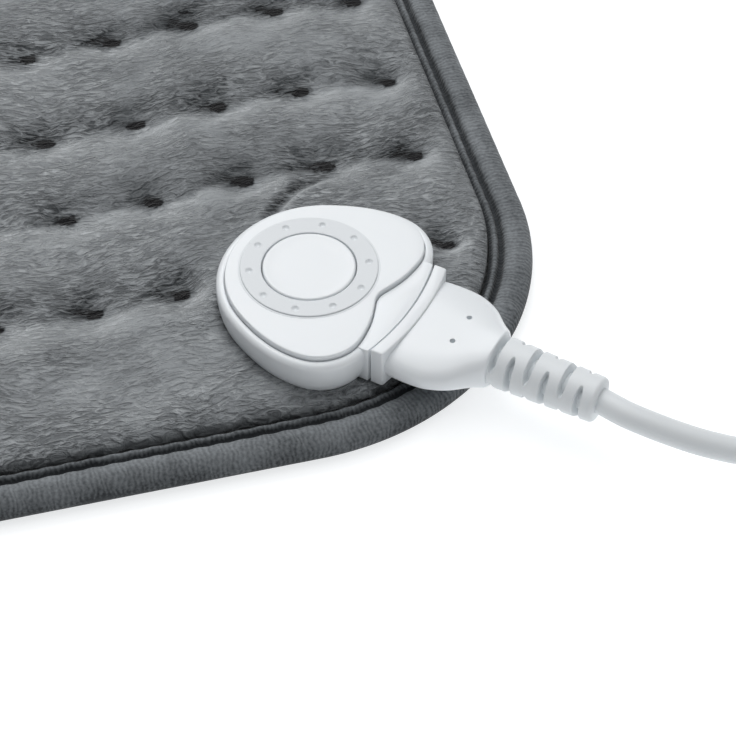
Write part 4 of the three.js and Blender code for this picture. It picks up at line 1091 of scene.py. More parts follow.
def catmull(points: Sequence[Triple]) -> list[Triple]:
    """A smooth line through points, in six steps from each to the next.

    Args:
        points: The points.

    Returns:
        The line.
    """
    rows = np.array(points, float)
    rows = np.concatenate([2 * rows[:1] - rows[1:2], rows, 2 * rows[-1:] - rows[-2:-1]])
    line = []
    for index in range(1, len(rows) - 2):
        before, here, after, beyond = rows[index - 1 : index + 3]
        for share in np.arange(6) / 6:
            line.append(
                0.5
                * (
                    2 * here
                    + (after - before) * share
                    + (2 * before - 5 * here + 4 * after - beyond) * share**2
                    + (3 * here - before - 3 * after + beyond) * share**3
                )
            )
    line.append(rows[-2])
    return [tuple(point) for point in line]


LEAD_COIL = Coil(327, -160, 32, 2.25, -math.pi / 2, COIL_START, 20, True, CASE_SEAM, 2.3)
HANDSET_X = LEAD_COIL.x + LEAD_COIL.outer_radius
HANDSET_LENGTH = 118.0
RELIEF_LENGTH = 28.0
HANDSET_Y = LEAD_COIL.y + LEAD_COIL.end_straight + GAP + RELIEF_LENGTH + HANDSET_LENGTH / 2
MAINS_START_Y = HANDSET_Y + HANDSET_LENGTH / 2 + 2 * GAP + RELIEF_LENGTH
MAINS_CORD_LENGTH = 38.0
MAINS_INNER_RADIUS = 26.1
MAINS_TURNS = 7.25
MAINS_PLUG_AXIS = 6.85
MAINS_COIL = Coil(
    HANDSET_X - MAINS_INNER_RADIUS - MAINS_TURNS / 2 * COIL_PITCH,
    MAINS_START_Y + MAINS_CORD_LENGTH + GAP + COIL_START,
    MAINS_INNER_RADIUS,
    MAINS_TURNS,
    0,
    COIL_START,
    34,
    False,
    MAINS_PLUG_AXIS,
    3.9,
)


@dataclass
class Leads(Assembly):
    """The lead to the hand controller, the mains lead, their coils and ties."""

    lead_places: tuple[Triple, ...] = (
        (195.4, -168.5, 13.6),
        (199.6, -171.7, 12.7),
        (205, -174.9, 11.2),
        (211.4, -177.9, 9.3),
        (219.6, -180.6, 7),
        (230, -183.6, 5),
        (242, -187, 3.7),
        (256, -190.8, 3.3),
        (272, -194.8, 3.3),
        (286, -197.7, 3.5),
        (297, -199.2, 3.8),
        (308, -199.8, 4.2),
    )
    facets: int = 5
    tie_width: float = 9
    tie_thickness: float = 0.8
    tie_slack: float = 0.7
    tie_corner: float = 1.7
    lead_length: float = 0
    mains_length: float = 0
    lead_exit: Triple = (0, 0, 0)
    mains_exit: Triple = (0, 0, 0)
    pieces: dict[str, bpy.types.Object] = field(default_factory=dict)

    def flex(self, name: str, route: Sequence[Triple]) -> bpy.types.Object:
        """A round cord along a route in millimetres.

        Args:
            name: The cord's name.
            route: Its centre line.

        Returns:
            The cord.
        """
        curve = bpy.data.curves.new(name, "CURVE")
        curve.dimensions = "3D"
        curve.bevel_depth = CORD_RADIUS * MM
        curve.bevel_resolution = self.facets
        curve.use_fill_caps = True
        spline = curve.splines.new("POLY")
        spline.points.add(len(route) - 1)
        for point, place in zip(spline.points, route, strict=True):
            point.co = (*(value * MM for value in place), 1)
        spline.use_smooth = True
        piece = bpy.data.objects.new(name, curve)
        bpy.context.scene.collection.objects.link(piece)
        return piece

    def build_lead(self) -> None:
        """The lead from the coupling plug's strain relief to the hand controller."""
        first = COUPLING.point(BOOT_END - 2, 0, PLUG_AXIS)
        second = COUPLING.point(BOOT_END + GAP, 0, PLUG_AXIS)
        start = [tuple(value / MM for value in place) for place in (first, second)]
        coil = LEAD_COIL.route()
        free = catmull([*start, *self.lead_places, coil[0]])[:-1]
        route = free + coil
        piece = self.flex("lead_flex", route)
        self.keep(piece, Body.LEAD, Slot.SOFT_WHITE, "lead_cord", "lead_coil")
        self.pieces["lead"] = piece
        self.lead_length = run_length(route) * MM
        self.lead_exit = first

    def build_mains(self) -> None:
        """The mains lead from the hand controller to its plug."""
        ahead = (MAINS_START_Y + MAINS_CORD_LENGTH * share / 4 for share in range(5))
        route = [(HANDSET_X, y, CASE_SEAM) for y in ahead] + MAINS_COIL.route()
        piece = self.flex("mains_flex", route)
        self.keep(piece, Body.LEAD, Slot.SOFT_WHITE, "mains_cord", "mains_coil")
        self.pieces["mains"] = piece
        self.mains_length = run_length(route) * MM
        self.mains_exit = tuple(value * MM for value in route[0])

    def build_tie(self, name: str, node: str, coil: Coil) -> None:
        """A woven band round one side of a coil.

        Args:
            name: The band's name.
            node: The node that it stands for.
            coil: The coil.
        """
        first = (coil.tie_angle - coil.start_angle) / TAU
        turns = np.arange(first - math.floor(first), coil.turns + 1e-6, 1)
        radii = coil.inner_radius + np.abs(turns - coil.turns / 2) * coil.pitch
        half_width = (radii.max() - radii.min()) / 2 + CORD_RADIUS + self.tie_slack
        middle = (radii.max() + radii.min()) / 2
        half_height = CORD_RADIUS + LAYER_STEP / 2 + GAP
        steps = 9
        rings = []
        width = self.tie_width / 2
        edge = [(0, -width), (0.5, -width - 0.1), (1, -width)]
        for out, along in [*edge, *((out, -along) for out, along in reversed(edge))]:
            reach = out * self.tie_thickness
            corner = self.tie_corner + reach
            loop = round_rectangle(half_width + reach, half_height + reach, corner, steps)
            rings.append(np.column_stack([loop[:, 0] + middle, np.full(len(loop), along), loop[:, 1]]))
        points, faces = stack(rings, closed=True)
        points[:, 2] += half_height + self.tie_thickness
        piece = add_mesh(name, Placement(coil.x, coil.y, coil.tie_angle).points(points), faces, 60)
        self.keep(piece, Body.LEAD, Slot.TIE, node)
        self.pieces[name] = piece

    def build(self) -> None:
        """Builds both leads and their ties."""
        self.build_lead()
        self.build_mains()
        self.build_tie("lead_band", "lead_tie", LEAD_COIL)
        self.build_tie("mains_band", "mains_tie", MAINS_COIL)

    def declare(self, plug_pieces: Sequence[bpy.types.Object]) -> None:
        """Takes the pieces on the two cords once they exist, and does nothing with them.

        Args:
            plug_pieces: The pieces of the mains plug; not used.
        """


def run_length(route: Sequence[Triple]) -> float:
    """The length of a line through points."""
    return float(np.linalg.norm(np.diff(np.array(route, float), axis=0), axis=1).sum())


# Pad


@dataclass(frozen=True)
class Swell:
    """A smooth rise or hollow: its size, its reach along X and Y, and its offset from its place."""

    size: float
    reach_x: float
    reach_y: float
    x: float = 0
    y: float = 0

    def at(self, dx: float | Points, dy: Points) -> Points:
        """Its height at offsets from its place."""
        along, across = (dx - self.x) / self.reach_x, (dy - self.y) / self.reach_y
        return self.size * np.exp(-(along**2) - across**2)


@dataclass
class Pad(Assembly):
    """The two plush covers, the fleece between them and the bound edge."""

    length: float = 392
    width: float = 310
    corner: float = 70
    binding_width: float = 10
    seam_width: float = 11.3
    crown: float = 10.4
    seat: float = 8.7
    edge_height: float = 7.6
    pitch_x: float = 23
    pitch_y: float = 33
    columns: int = 16
    rows: int = 8
    first_row: float = -99.8
    pit_floor: float = 5.6
    cell: float = 1.15
    tape_points: int = 1080
    rise: float = 0.35
    fall_reach: float = 3.0
    roll_height: float = 0.5
    roll_reach: float = 2.5
    valley: Swell = Swell(1.35, math.inf, 7.5)
    dent: Swell = Swell(1.7, 7.5, 6.5)
    pit: Swell = Swell(4.4, 2.2, 2.6)
    steep_side: float = 0.95
    fold: Swell = Swell(0.5, math.inf, 1.8)
    # Painted shade behind each tuft and a painted highlight before it.
    halo_shade: Swell = Swell(0.46, 4.6, 2.3, -1.6, 1.3)
    crest: Swell = Swell(0.2, 4, 2, 4.2, -2.1)
    crease_x: float = 140
    crease_y: float = -72
    crease_slope: float = 0.75
    crease_bend: float = 0.03
    crease_depth: float = 1.5
    crease_crest: float = 0.65

    def depth_inside(self, x: Points, y: Points) -> Points:
        """How far places lie inside the pad's outer edge.

        Args:
            x: The places along X.
            y: The places along Y.

        Returns:
            The depths.
        """
        along_x = np.abs(x) - (self.length / 2 - self.corner)
        along_y = np.abs(y) - (self.width / 2 - self.corner)
        corner = np.hypot(np.maximum(along_x, 0), np.maximum(along_y, 0))
        return self.corner - corner - np.minimum(np.maximum(along_x, along_y), 0)

    def grid(self, inset: float, cell: float) -> tuple[Points, Points, tuple[int, int]]:
        """Places of a grid whose corner squares are drawn in to the round corners.

        Args:
            inset: How far its outline lies inside the pad's edge.
            cell: The side of a cell.

        Returns:
            The x and y of each place in rows, and the grid's shape.
        """
        half_x, half_y = self.length / 2 - inset, self.width / 2 - inset
        radius = self.corner - inset
        xs = np.linspace(-half_x, half_x, round(2 * half_x / cell) + 1)
        ys = np.linspace(-half_y, half_y, round(2 * half_y / cell) + 1)
        x, y = np.meshgrid(xs, ys, indexing="ij")
        dx = np.maximum(np.abs(x) - (half_x - radius), 0)
        dy = np.maximum(np.abs(y) - (half_y - radius), 0)
        size = np.hypot(dx, dy)
        share = np.where(size > 0, np.maximum(dx, dy) / np.maximum(size, 1e-9), 1)
        x = np.sign(x) * (np.abs(x) - dx + dx * share)
        y = np.sign(y) * (np.abs(y) - dy + dy * share)
        return x.ravel(), y.ravel(), x.shape

    def near_tuft(self, x: Points, y: Points) -> tuple[Points, Points]:
        """Offsets of places from their nearest tuft; the rows wander a little.

        Args:
            x: The places along X.
            y: The places along Y.

        Returns:
            The offsets along X and along Y.
        """
        column = np.clip(np.round(x / self.pitch_x + (self.columns - 1) / 2), 0, self.columns - 1)
        row = np.clip(np.round((y - self.first_row) / self.pitch_y), 0, self.rows - 1)
        near_x = (column - (self.columns - 1) / 2) * self.pitch_x + 0.7 * np.sin(2.4 * column + 1.7 * row)
        near_y = self.first_row + row * self.pitch_y + self.wander(near_x, row)
        return x - near_x - 0.7, y - near_y + 1.1

    def wander(self, x: Points, row: Points) -> Points:
        """How far a row of tufts strays from its straight line."""
        return 1.75 - 1.75 * np.cos(TAU * (x - 78) / 125) - 0.7 + 1.6 * np.sin(2.2 * row)

    def clearance(self, x: Points, y: Points) -> tuple[Points, Points]:
        """How far places lie outside the coupling's housing, and outside its plug.

        Args:
            x: The places along X.
            y: The places along Y.

        Returns:
            The two distances, negative inside.
        """
        cos, sin = math.cos(COUPLING.turn), math.sin(COUPLING.turn)
        dx, dy = x - COUPLING.x, y - COUPLING.y
        along, across = dx * cos + dy * sin, dy * cos - dx * sin
        shape = HousingShape()
        edge = shape.outline(0)
        way = np.arctan2(across - shape.centre[1], along - shape.centre[0])
        ring = np.hypot(edge[:, 0] - shape.centre[0], edge[:, 1] - shape.centre[1])
        ways = np.arange(len(ring) + 1) * TAU / len(ring)
        reach = np.interp(way % TAU, ways, np.append(ring, ring[0]))
        from_housing = np.hypot(along - shape.centre[0], across - shape.centre[1]) - reach
        from_plug = np.maximum(np.abs(across) - 17, np.abs(along - 31.5) - 20.5)
        return from_housing, from_plug

    def relief(self, x: Points, y: Points) -> Points:
        """Small uneven swells of the wadding and ripples of the nap.

        Args:
            x: The places along X.
            y: The places along Y.

        Returns:
            The heights.
        """
        swells = [
            noise.noise(Vector((px / 16, py / 12, 3.1)))
            + 0.3 * noise.noise(Vector((px / 6.5, py / 4.0, 8.7)))
            + 0.14 * noise.noise(Vector((px / 3.2, py / 1.7, 1.9)))
            for px, py in zip(x.tolist(), y.tolist(), strict=True)
        ]
        return 0.45 * np.array(swells)

    def quilt(self, x: Points, y: Points) -> Points:
        """How deep the tufts and the valleys of their rows are.

        Args:
            x: The places along X.
            y: The places along Y.

        Returns:
            The depths.
        """
        dx, dy = self.near_tuft(x, y)
        steepness = np.where(dy < 0, self.pit.reach_y / self.steep_side, 1)
        fold = self.fold.at(0, dy + 0.5 * np.sin(0.3 * x))
        pulls = 0.3 * np.exp(-np.hypot(dx, dy) / 6) * np.cos(6 * np.arctan2(dy, dx) + x * 0.05)
        return self.valley.at(0, dy) + self.dent.at(dx, dy) + self.pit.at(dx, dy * steepness) + fold + pulls

    def crease(self, x: Points, y: Points) -> tuple[Points, Points]:
        """The fold that leaves the coupling at its back.

        Args:
            x: The places along X.
            y: The places along Y.

        Returns:
            Its valley and its crest, each from zero to one.
        """
        run = x - self.crease_x
        across = y - (self.crease_slope * run - self.crease_bend * run**2 + self.crease_y)
        along = soft(x, 127, 133) * soft(-x, -152, -145)
        valley = np.exp(-((across / np.where(across < 0, 1.5, 3.4)) ** 2))
        return valley * along, np.exp(-(((across + 2.2) / 1.5) ** 2)) * along

    def top_height(self, x: Points, y: Points) -> Points:
        """The plush's height: puffed between the tufts, pressed flat under the coupling.

        Args:
            x: The places along X.
            y: The places along Y.

        Returns:
            The heights.
        """
        inner = np.maximum(self.depth_inside(x, y) - self.seam_width, 0)
        from_housing, from_plug = self.clearance(x, y)
        away = soft(np.minimum(from_housing, from_plug), 0, 9)
        quilted = self.in_rows(x, y)
        height = self.crown + self.rise * quilted - self.quilt(x, y) * quilted * away
        height = self.pit_floor + np.log1p(np.exp(2 * (height - self.pit_floor))) / 2
        height += self.relief(x, y) * np.clip(inner / 6, 0.3, 1)
        height += self.roll_height * np.exp(-np.maximum(from_housing, 0) / self.roll_reach)
        valley, crest = self.crease(x, y)
        height += self.crease_crest * crest - self.crease_depth * valley
        pressed = self.seat - 0.25
        free = np.minimum(soft(from_housing, -2.7, -1.5), soft(from_plug, 0.25, 1.3))
        height = pressed + free * np.maximum(height - pressed, 0)
        return height - (height - self.edge_height) * np.exp(-inner / self.fall_reach)

    def in_rows(self, x: Points, y: Points) -> Points:
        """One where the pad is quilted and zero in the plain band along its front and its edge."""
        inner = np.maximum(self.depth_inside(x, y) - self.seam_width, 0)
        return np.clip((y - (self.first_row - self.pitch_y / 2)) / 8, 0, 1) * np.clip((inner - 3) / 9, 0, 1)

    def shade(self, x: Points, y: Points) -> Points:
        """The plush's painted shade: dark in the tufts, round the coupling and in its crease; painted light
        at the front.

        Args:
            x: The places along X.
            y: The places along Y.

        Returns:
            The shades, which are below zero where light is painted.
        """
        dx, dy = self.near_tuft(x, y)
        outside = np.minimum(*self.clearance(x, y))
        beyond = np.maximum(outside, 0)
        # Painted shadow in each tuft's pit, painted shade behind it and a painted highlight before it.
        pit_shadow = 1.15 * soft(-np.hypot((dx + 0.25 * dy) / 2.2, (dy - 0.15) / 1.5), -1.35, -0.45)
        tufts = np.maximum(pit_shadow, self.halo_shade.at(dx, dy)) - self.crest.at(dx, dy)
        tufts *= self.in_rows(x, y) * soft(outside, 0, 4)
        inner = np.maximum(self.depth_inside(x, y) - self.seam_width, 0)
        # Painted light on edges that face the front, where the finish's slope shade darkens them.
        step = 0.5
        slope_x = self.depth_inside(x + step, y) - self.depth_inside(x - step, y)
        slope_y = self.depth_inside(x, y + step) - self.depth_inside(x, y - step)
        front_edge_light = np.clip(0.86 * slope_y - 0.42 * slope_x, 0, 1)
        # Painted light in front of the coupling, where its shadow falls.
        front_fill_light = 0.15 * soft(-y, 112, 124) * np.exp(-beyond / 7)
        # Painted shade along the housing's foot and its back-left side; the pile is also made darker towards
        # the right.
        foot = 0.2 * soft(-outside, -1.4, 0.2) + 0.06 * soft(x, 70, 130)
        foot += 0.12 * np.exp(-beyond / 6) * soft(y, -94, -86) * soft(-x, -138, -130)
        # Painted shade in the crease's valley and a painted highlight on its crest.
        valley, crest = self.crease(x, y)
        crease_shade = 0.2 * valley - 0.14 * crest
        return tufts + foot + crease_shade - front_fill_light - 0.3 * front_edge_light * np.exp(-inner / 4.5)

    def closed_grid(
        self, name: str, x: Points, y: Points, shape: tuple[int, int], top: Points, base: float
    ) -> bpy.types.Object:
        """A sheet over a grid, closed by an upright rim and a flat face at a base height.

        Args:
            name: The piece's name.
            x: The places along X.
            y: The places along Y.
            shape: The grid's shape.
            top: The height of each place.
            base: The height of the flat face.

        Returns:
            The piece.
        """
        rows, columns = shape
        index = np.arange(rows * columns).reshape(shape)
        faces = np.stack([index[:-1, :-1], index[1:, :-1], index[1:, 1:], index[:-1, 1:]], axis=-1)
        border = np.concatenate([index[:-1, 0], index[-1, :-1], index[:0:-1, -1], index[0, :0:-1]])
        count = len(border)
        first = rows * columns
        points = np.column_stack([x, y, top])
        rim = np.column_stack([x[border], y[border], np.full(count, base)])
        hub = np.array([[0, 0, base]])
        quads = [tuple(face) for face in faces.reshape(-1, 4).tolist()]
        for step in range(count):
            after = (step + 1) % count
            quads.append((int(border[after]), int(border[step]), first + step, first + after))
            quads.append((first + count, first + after, first + step))
        return add_mesh(name, np.concatenate([points, rim, hub]) * MM, quads, 75)

    def build_covers(self) -> None:
        """The upper and lower plush covers."""
        x, y, shape = self.grid(self.seam_width + GAP, self.cell)
        top = self.closed_grid("plush_top", x, y, shape, self.top_height(x, y), 4.8)
        # The plush keeps its painted shade and light as a point attribute.
        store(top, PAINTED_SHADE_NAME, self.shade(x, y))
        self.keep(top, Body.PAD, Slot.PLUSH, "pad_top_cover")
        x, y, shape = self.grid(self.binding_width + GAP, 4)
        dx, dy = self.near_tuft(x, y)
        inner = np.maximum(self.depth_inside(x, y) - self.binding_width, 0)
        dimples = 0.9 * np.exp(-(np.hypot(dx, dy) / 4.5) ** 2) * np.clip(inner / 8, 0, 1)
        low = 0.08 + dimples + 0.12 * np.abs(self.relief(x, y))
        under = self.closed_grid("plush_underside", x, y, shape, low, 1.5)
        self.keep(under, Body.PAD, Slot.PLUSH, "pad_bottom_cover")

    def build_carrier(self) -> None:
        """The fleece that carries the heating wire."""
        x, y, shape = self.grid(12.4, 8)
        sway = 2.5 + 0.06 * np.sin(x / 9) * np.cos(y / 11)
        carrier = self.closed_grid("fleece_sheet", x, y, shape, sway, 1.85)
        self.keep(carrier, Body.PAD, Slot.FLEECE, "element_carrier")

    def edge_outline(self, inset: float, count: int) -> Points:
        """The pad's outline at an inset, its points at the same runs for every inset."""
        outer = even(round_rectangle(self.length / 2, self.width / 2, self.corner, 60), count)
        return shrink(outer, inset) if inset else outer

    def tape_section(self) -> list[Pair]:
        """The tape's section as inset and height: round outside, two seam grooves near the plush.

        Returns:
            Its places, from the inside round the outside and back to the seam.
        """
        section = [(10, 1.9), (10, 0.25), (6, 0.05), (3.6, 0.1)]
        for step in range(13):
            angle = math.radians(-100 - 165 * step / 12)
            section.append((3.7 + 3.65 * math.cos(angle), 3.75 + 3.7 * math.sin(angle)))
        shoulder = [(4.6, 7.42), (5.6, 7.3), (6.4, 7.05), (6.95, 6.65), (7.3, 6.1), (7.55, 5.4)]
        groove = [(7.8, 5.05), (8.15, 4.95), (8.5, 5.1), (8.75, 5.6), (9.05, 6.3)]
        ridge = [(9.4, 6.6), (9.8, 6.6), (10.1, 6.3), (10.35, 5.8), (10.7, 5.5), (11.05, 5.4), (11.25, 4.7)]
        return section + shoulder + groove + ridge

    def build_tape(self) -> None:
        """The ribbed edge tape, with painted shade in its seam grooves and low outside and painted light on
        top.
        """
        count = self.tape_points
        outer = self.edge_outline(0, count)
        run = np.concatenate([[0], np.cumsum(np.linalg.norm(np.diff(outer, axis=0), axis=1))])
        pucker = 0.16 * np.sin(run * TAU / 5.3 + 1.4 * np.sin(run / 17)) + 0.1 * np.sin(run / 7.9)
        rings = []
        section = self.tape_section()
        for inset, height in section:
            share = np.clip((height - 1) / 6, 0, 1)
            near_seam = np.exp(-(((inset - 8.5) / 2.2) ** 2))
            lift = pucker * share * (0.5 + near_seam)
            rings.append(np.column_stack([self.edge_outline(inset, count), height + lift]))
        points, faces = stack(rings, closed=True)
        tape = add_mesh("edge_tape", points * MM, faces, 75)
        store(tape, RUN_NAME, np.tile(run * MM, len(rings)))
        # Painted shade in the two seam grooves and low on the outer side, painted light along the top.
        shades = []
        for inset, height in section:
            groove_shade = 0.66 * smooth_bump(inset, 8.1, 1.15) + 0.5 * smooth_bump(inset, 10.9, 0.9)
            low_side_shade = 0.52 * (1 - soft(height, 1.5, 7.3)) * (inset < 5)
            shades.append(groove_shade + low_side_shade - 0.18 * smooth_bump(inset, 5.6, 2))
        store(tape, PAINTED_SHADE_NAME, np.repeat(shades, count))
        self.keep(tape, Body.PAD, Slot.BINDING, "edge_binding")

    def build(self) -> None:
        """Builds the whole pad."""
        self.build_covers()
        self.build_carrier()
        self.build_tape()


# Coupling


@dataclass(frozen=True)
class HousingShape:
    """The outline that the housing and its cover share, in the coupling's frame."""

    centre: Pair = (5.0, 0.0)
    count: int = 360
    back_x: float = 4.11
    back_radius: float = 26.24
    lobe_x: float = 11.0
    lobe_y: float = 14.82
    lobe_radius: float = 13.51
    back_blend: float = math.radians(14.5)
    lobe_blend: float = math.radians(21.75)
    cusp_x: float = 18.60
    cover_inset: float = 2.2
    softening: int = 75

    def outline(self, inset: float, notched: bool = False) -> Points:
        """The outline seen from above, one point in each direction.

        Args:
            inset: How far it lies inside the housing's wall.
            notched: Whether the front dips back to the cover's soft notch.

        Returns:
            Its points.
        """
        dx = self.lobe_x - self.back_x
        spread = math.acos((self.back_radius - self.lobe_radius) / math.hypot(dx, self.lobe_y))
        tangent = math.atan2(self.lobe_y, dx) + spread
        leave, meet = tangent + self.back_blend, tangent - self.lobe_blend
        lobe = self.lobe_radius - inset
        front = self.lobe_x + lobe
        back = arc(self.back_x, 0, self.back_radius - inset, leave, TAU - leave, 400)
        lower = arc(self.lobe_x, -self.lobe_y, lobe, -meet, 0, 200)
        upper = arc(self.lobe_x, self.lobe_y, lobe, 0, meet, 200)
        parts = [back, blend(back[-1], -leave, lower[0], -meet), lower]
        if notched:
            cusp = self.cusp_x - (inset - self.cover_inset)
            half = self.lobe_y / 2
            waist = (front + 2 * cusp) / 3
            side = bezier((front, -self.lobe_y), (front, -half), (waist, -half / 2), (cusp, 0), steps=200)
            notch = np.concatenate([side, side[::-1] * [1, -1]])
            weights = np.ones(self.softening) / self.softening
            rows = (np.pad(row, self.softening // 2, "edge") for row in notch.T)
            parts.append(np.stack([np.convolve(row, weights, "valid") for row in rows], axis=1))
        else:
            parts.append(straight(lower[-1], upper[0]))
        parts += [upper, blend(upper[-1], meet, back[0], leave)]
        return polar(np.concatenate(parts), self.centre, self.count)


@dataclass
class Coupling(Assembly):
    """The housing on the pad with its cover, ring and release button."""

    shape: HousingShape = field(default_factory=HousingShape)
    rim_top: float = 19.0
    deck: float = 19.25
    cover_top: float = 20.5
    cover_low: float = 18.5
    rim_roll: float = 1.5
    wall: tuple[Pair, ...] = (
        (3.4, 0),
        (2.0, 0),
        (1.6, 0.2),
        (1.3, 0.7),
        (0.86, 1.9),
        (0.5, 3.2),
        (0.22, 4.7),
        (0.06, 6.2),
        (0, 7.6),
    )
    collar_half: float = 16.5
    collar_radius: float = 63.0
    collar_front: float = 27.4
    ring_inner: float = 11.6
    ring_outer: float = 16.85
    ring_low: float = 19.7
    ring_top: float = 20.9
    groove_radius: float = 17.3
    seat_radius: float = 17.0
    seat_height: float = 19.4
    dimples: int = 10
    dimple_turn: float = -math.radians(1.2)
    dimple_circle: float = 14.6
    dimple_radius: float = 0.9
    dimple_depth: float = 0.55
    button_radius: float = 11.35
    button_top: float = 21.0

    def build_housing(self) -> bpy.types.Object:
        """The bowl: a leaning wall, a broad round rim and a rebate for the cover.

        Returns:
            The housing.
        """
        top, cover = self.rim_top, self.shape.cover_inset
        wall = [(inset, HOUSING_BOTTOM + rise) for inset, rise in self.wall] + rolled(top, self.rim_roll, 7)
        rings = [at_height(self.shape.outline(inset), z) for inset, z in wall]
        lip = [(cover - GAP, top - 0.04), (cover - GAP + 0.08, top - 0.2), (cover - GAP + 0.08, 18.2)]
        lip += [(cover + 1.2, 18.2), (cover + 1.2, 10.2)]
        rings += [at_height(self.shape.outline(inset, True), z) for inset, z in lip]
        points, faces = stack(rings)
        return add_mesh("coupling_housing", COUPLING.points(points), faces, 50)

    def collar_outline(self) -> Points:
        """The deck before the cover: the cover's front edge behind and a wide arc in front.

        Returns:
            Its outline.
        """
        half, radius = self.collar_half, self.collar_radius
        swing = math.asin(half / radius)
        face = arc(self.collar_front - radius, 0, radius, -swing, swing, 60)
        behind = self.shape.outline(self.shape.cover_inset - GAP, True)
        behind = behind[(behind[:, 0] > self.shape.lobe_x) & (np.abs(behind[:, 1]) < half - 0.02)]
        behind = behind[np.argsort(-behind[:, 1])]
        corner = np.array([[behind[0, 0], half]])
        return np.concatenate([face, corner, behind, corner * [[1, -1]]])

    def prism(self, name: str, outline: Points, low: float, high: float, edge: float) -> bpy.types.Object:
        """An upright block on an outline, with its top and its corners rounded.

        Args:
            name: The piece's name.
            outline: Its outline in the coupling's frame.
            low: Its underside.
            high: Its top.
            edge: The width of the rounding.

        Returns:
            The block.
        """
        form = bmesh.new()
        count = len(outline)
        for height in (low, high):
            for place in COUPLING.points(at_height(outline, height)):
                form.verts.new(place)
        form.verts.ensure_lookup_table()
        form.faces.new([form.verts[index] for index in reversed(range(count))])
        form.faces.new([form.verts[count + index] for index in range(count)])
        for step in range(count):
            after = (step + 1) % count
            form.faces.new([form.verts[i] for i in (step, after, count + after, count + step)])
        form.normal_update()
        least, base = math.radians(35), (low + 1) * MM
        sharp = [
            side
            for side in form.edges
            if side.calc_face_angle(0) > least and max(end.co.z for end in side.verts) > base
        ]
        bmesh.ops.bevel(
            form, geom=sharp, offset=edge * MM, segments=3, profile=0.5, affect="EDGES", clamp_overlap=True
        )
        mesh = bpy.data.meshes.new(name)
        form.to_mesh(mesh)
        form.free()
        piece = bpy.data.objects.new(name, mesh)
        bpy.context.scene.collection.objects.link(piece)
        smooth(piece, 35)
        return piece

    def block(self, u: Pair, v: Pair, z: Pair) -> bpy.types.Object:
        """A plain cutting block in the coupling's frame.

        Args:
            u: Its ends along the coupling.
            v: Its ends across it.
            z: Its ends in height.

        Returns:
            The block.
        """
        corners = np.array([(a, b, c) for a in u for b in v for c in z], float)
        faces = [(0, 1, 3, 2), (4, 6, 7, 5), (0, 4, 5, 1), (2, 3, 7, 6), (0, 2, 6, 4), (1, 5, 7, 3)]
        return add_mesh("cutter", COUPLING.points(corners), faces)

    def tunnel(self) -> bpy.types.Object:
        """The space that the plug's nose slides into."""
        return self.block((10.8, 33), (-12.7, 12.7), (12.4, 16.7))

    def build_cover(self) -> bpy.types.Object:
        """The raised cover: a rounded edge, a soft notch in front and a recess for the ring.

        Returns:
            The cover.
        """
        inset, top, count, roll = self.shape.cover_inset, self.cover_top, self.shape.count, 0.4
        edges = [(0, self.cover_low), *rolled(top - 0.05, roll, 6)]
        rings = [at_height(self.shape.outline(inset + turned, True), z) for turned, z in edges]
        ways = np.arange(4 * count) * TAU / (4 * count)
        circle = np.stack([np.cos(ways), np.sin(ways)], axis=1)
        radii = (self.seat_radius + 0.15, self.seat_radius, self.ring_inner)
        brim, seat, hole = (polar(radius * circle, self.shape.centre, count) for radius in radii)
        edge = self.shape.outline(inset + roll, True)
        for share in (0.2, 0.45, 0.7, 0.9, 1.0):
            rings.append(at_height(edge * (1 - share) + brim * share, top - 0.05 * (1 - soft(share, 0, 0.8))))
        rings += [at_height(seat, height) for height in (top - 0.15, self.seat_height)]
        rings += [at_height(hole, height) for height in (self.seat_height, self.cover_low)]
        points, faces = stack(rings, closed=True)
        return add_mesh("coupling_cover", COUPLING.points(points), faces, 40)

    def build_ring(self) -> bpy.types.Object:
        """The matt ring with its ten dimples.

        Returns:
            The ring.
        """
        count, high, outer, roll = 480, self.ring_top, self.ring_outer, 0.3
        angles = np.arange(count) * TAU / count
        inner, shoulder = self.ring_inner + 0.05, high - 0.35
        profile = [(inner, self.ring_low), (self.groove_radius, self.ring_low)]
        profile += [(self.groove_radius, shoulder), (outer, shoulder)]
        profile += [(outer - turned, height) for turned, height in rolled(high, roll, 4)]
        profile += [(radius, high) for radius in np.linspace(outer - roll - 0.1, inner + 0.25, 30)]
        profile += [(inner + 0.08, high - 0.06), (inner, high - 0.25)]
        turns = TAU * np.arange(self.dimples) / self.dimples + self.dimple_turn
        rings = []
        for radius, height in profile:
            ring = np.stack([radius * np.cos(angles), radius * np.sin(angles)], axis=1)
            heights = np.full(count, float(height))
            if height == high:
                for turn in turns:
                    middle = self.dimple_circle * np.array([math.cos(turn), math.sin(turn)])
                    near = np.linalg.norm(ring - middle, axis=1) / self.dimple_radius
                    heights -= self.dimple_depth * np.clip(1 - near**2, 0, 1)
            rings.append(at_height(ring, heights))
        points, faces = stack(rings, closed=True)
        return add_mesh("dial_ring_face", COUPLING.points(points), faces, 40)

    def build_button(self) -> bpy.types.Object:
        """The release button: a broad disc with a rolled edge, a hollow skirt and a stem.

        Returns:
            The button.
        """
        radius, top = self.button_radius, self.button_top
        profile = [(2.6, 13.4), (2.6, 19.6), (9.9, 19.6), (9.9, 17.4)]
        profile += [(13.2, 17.4), (13.2, 18.2), (radius, 18.2)]
        profile += [(radius - turned, height) for turned, height in rolled(top, 0.5, 6)]
        dish = [(radius - 1.1, 0.03), (radius - 1.5, 0.1), (8, 0.08), (5, 0.02), (2, 0)]
        profile += [(place, top - depth) for place, depth in dish]
        points, faces = lathe(profile, 160)
        return add_mesh("release_disc", COUPLING.points(points), faces, 40)

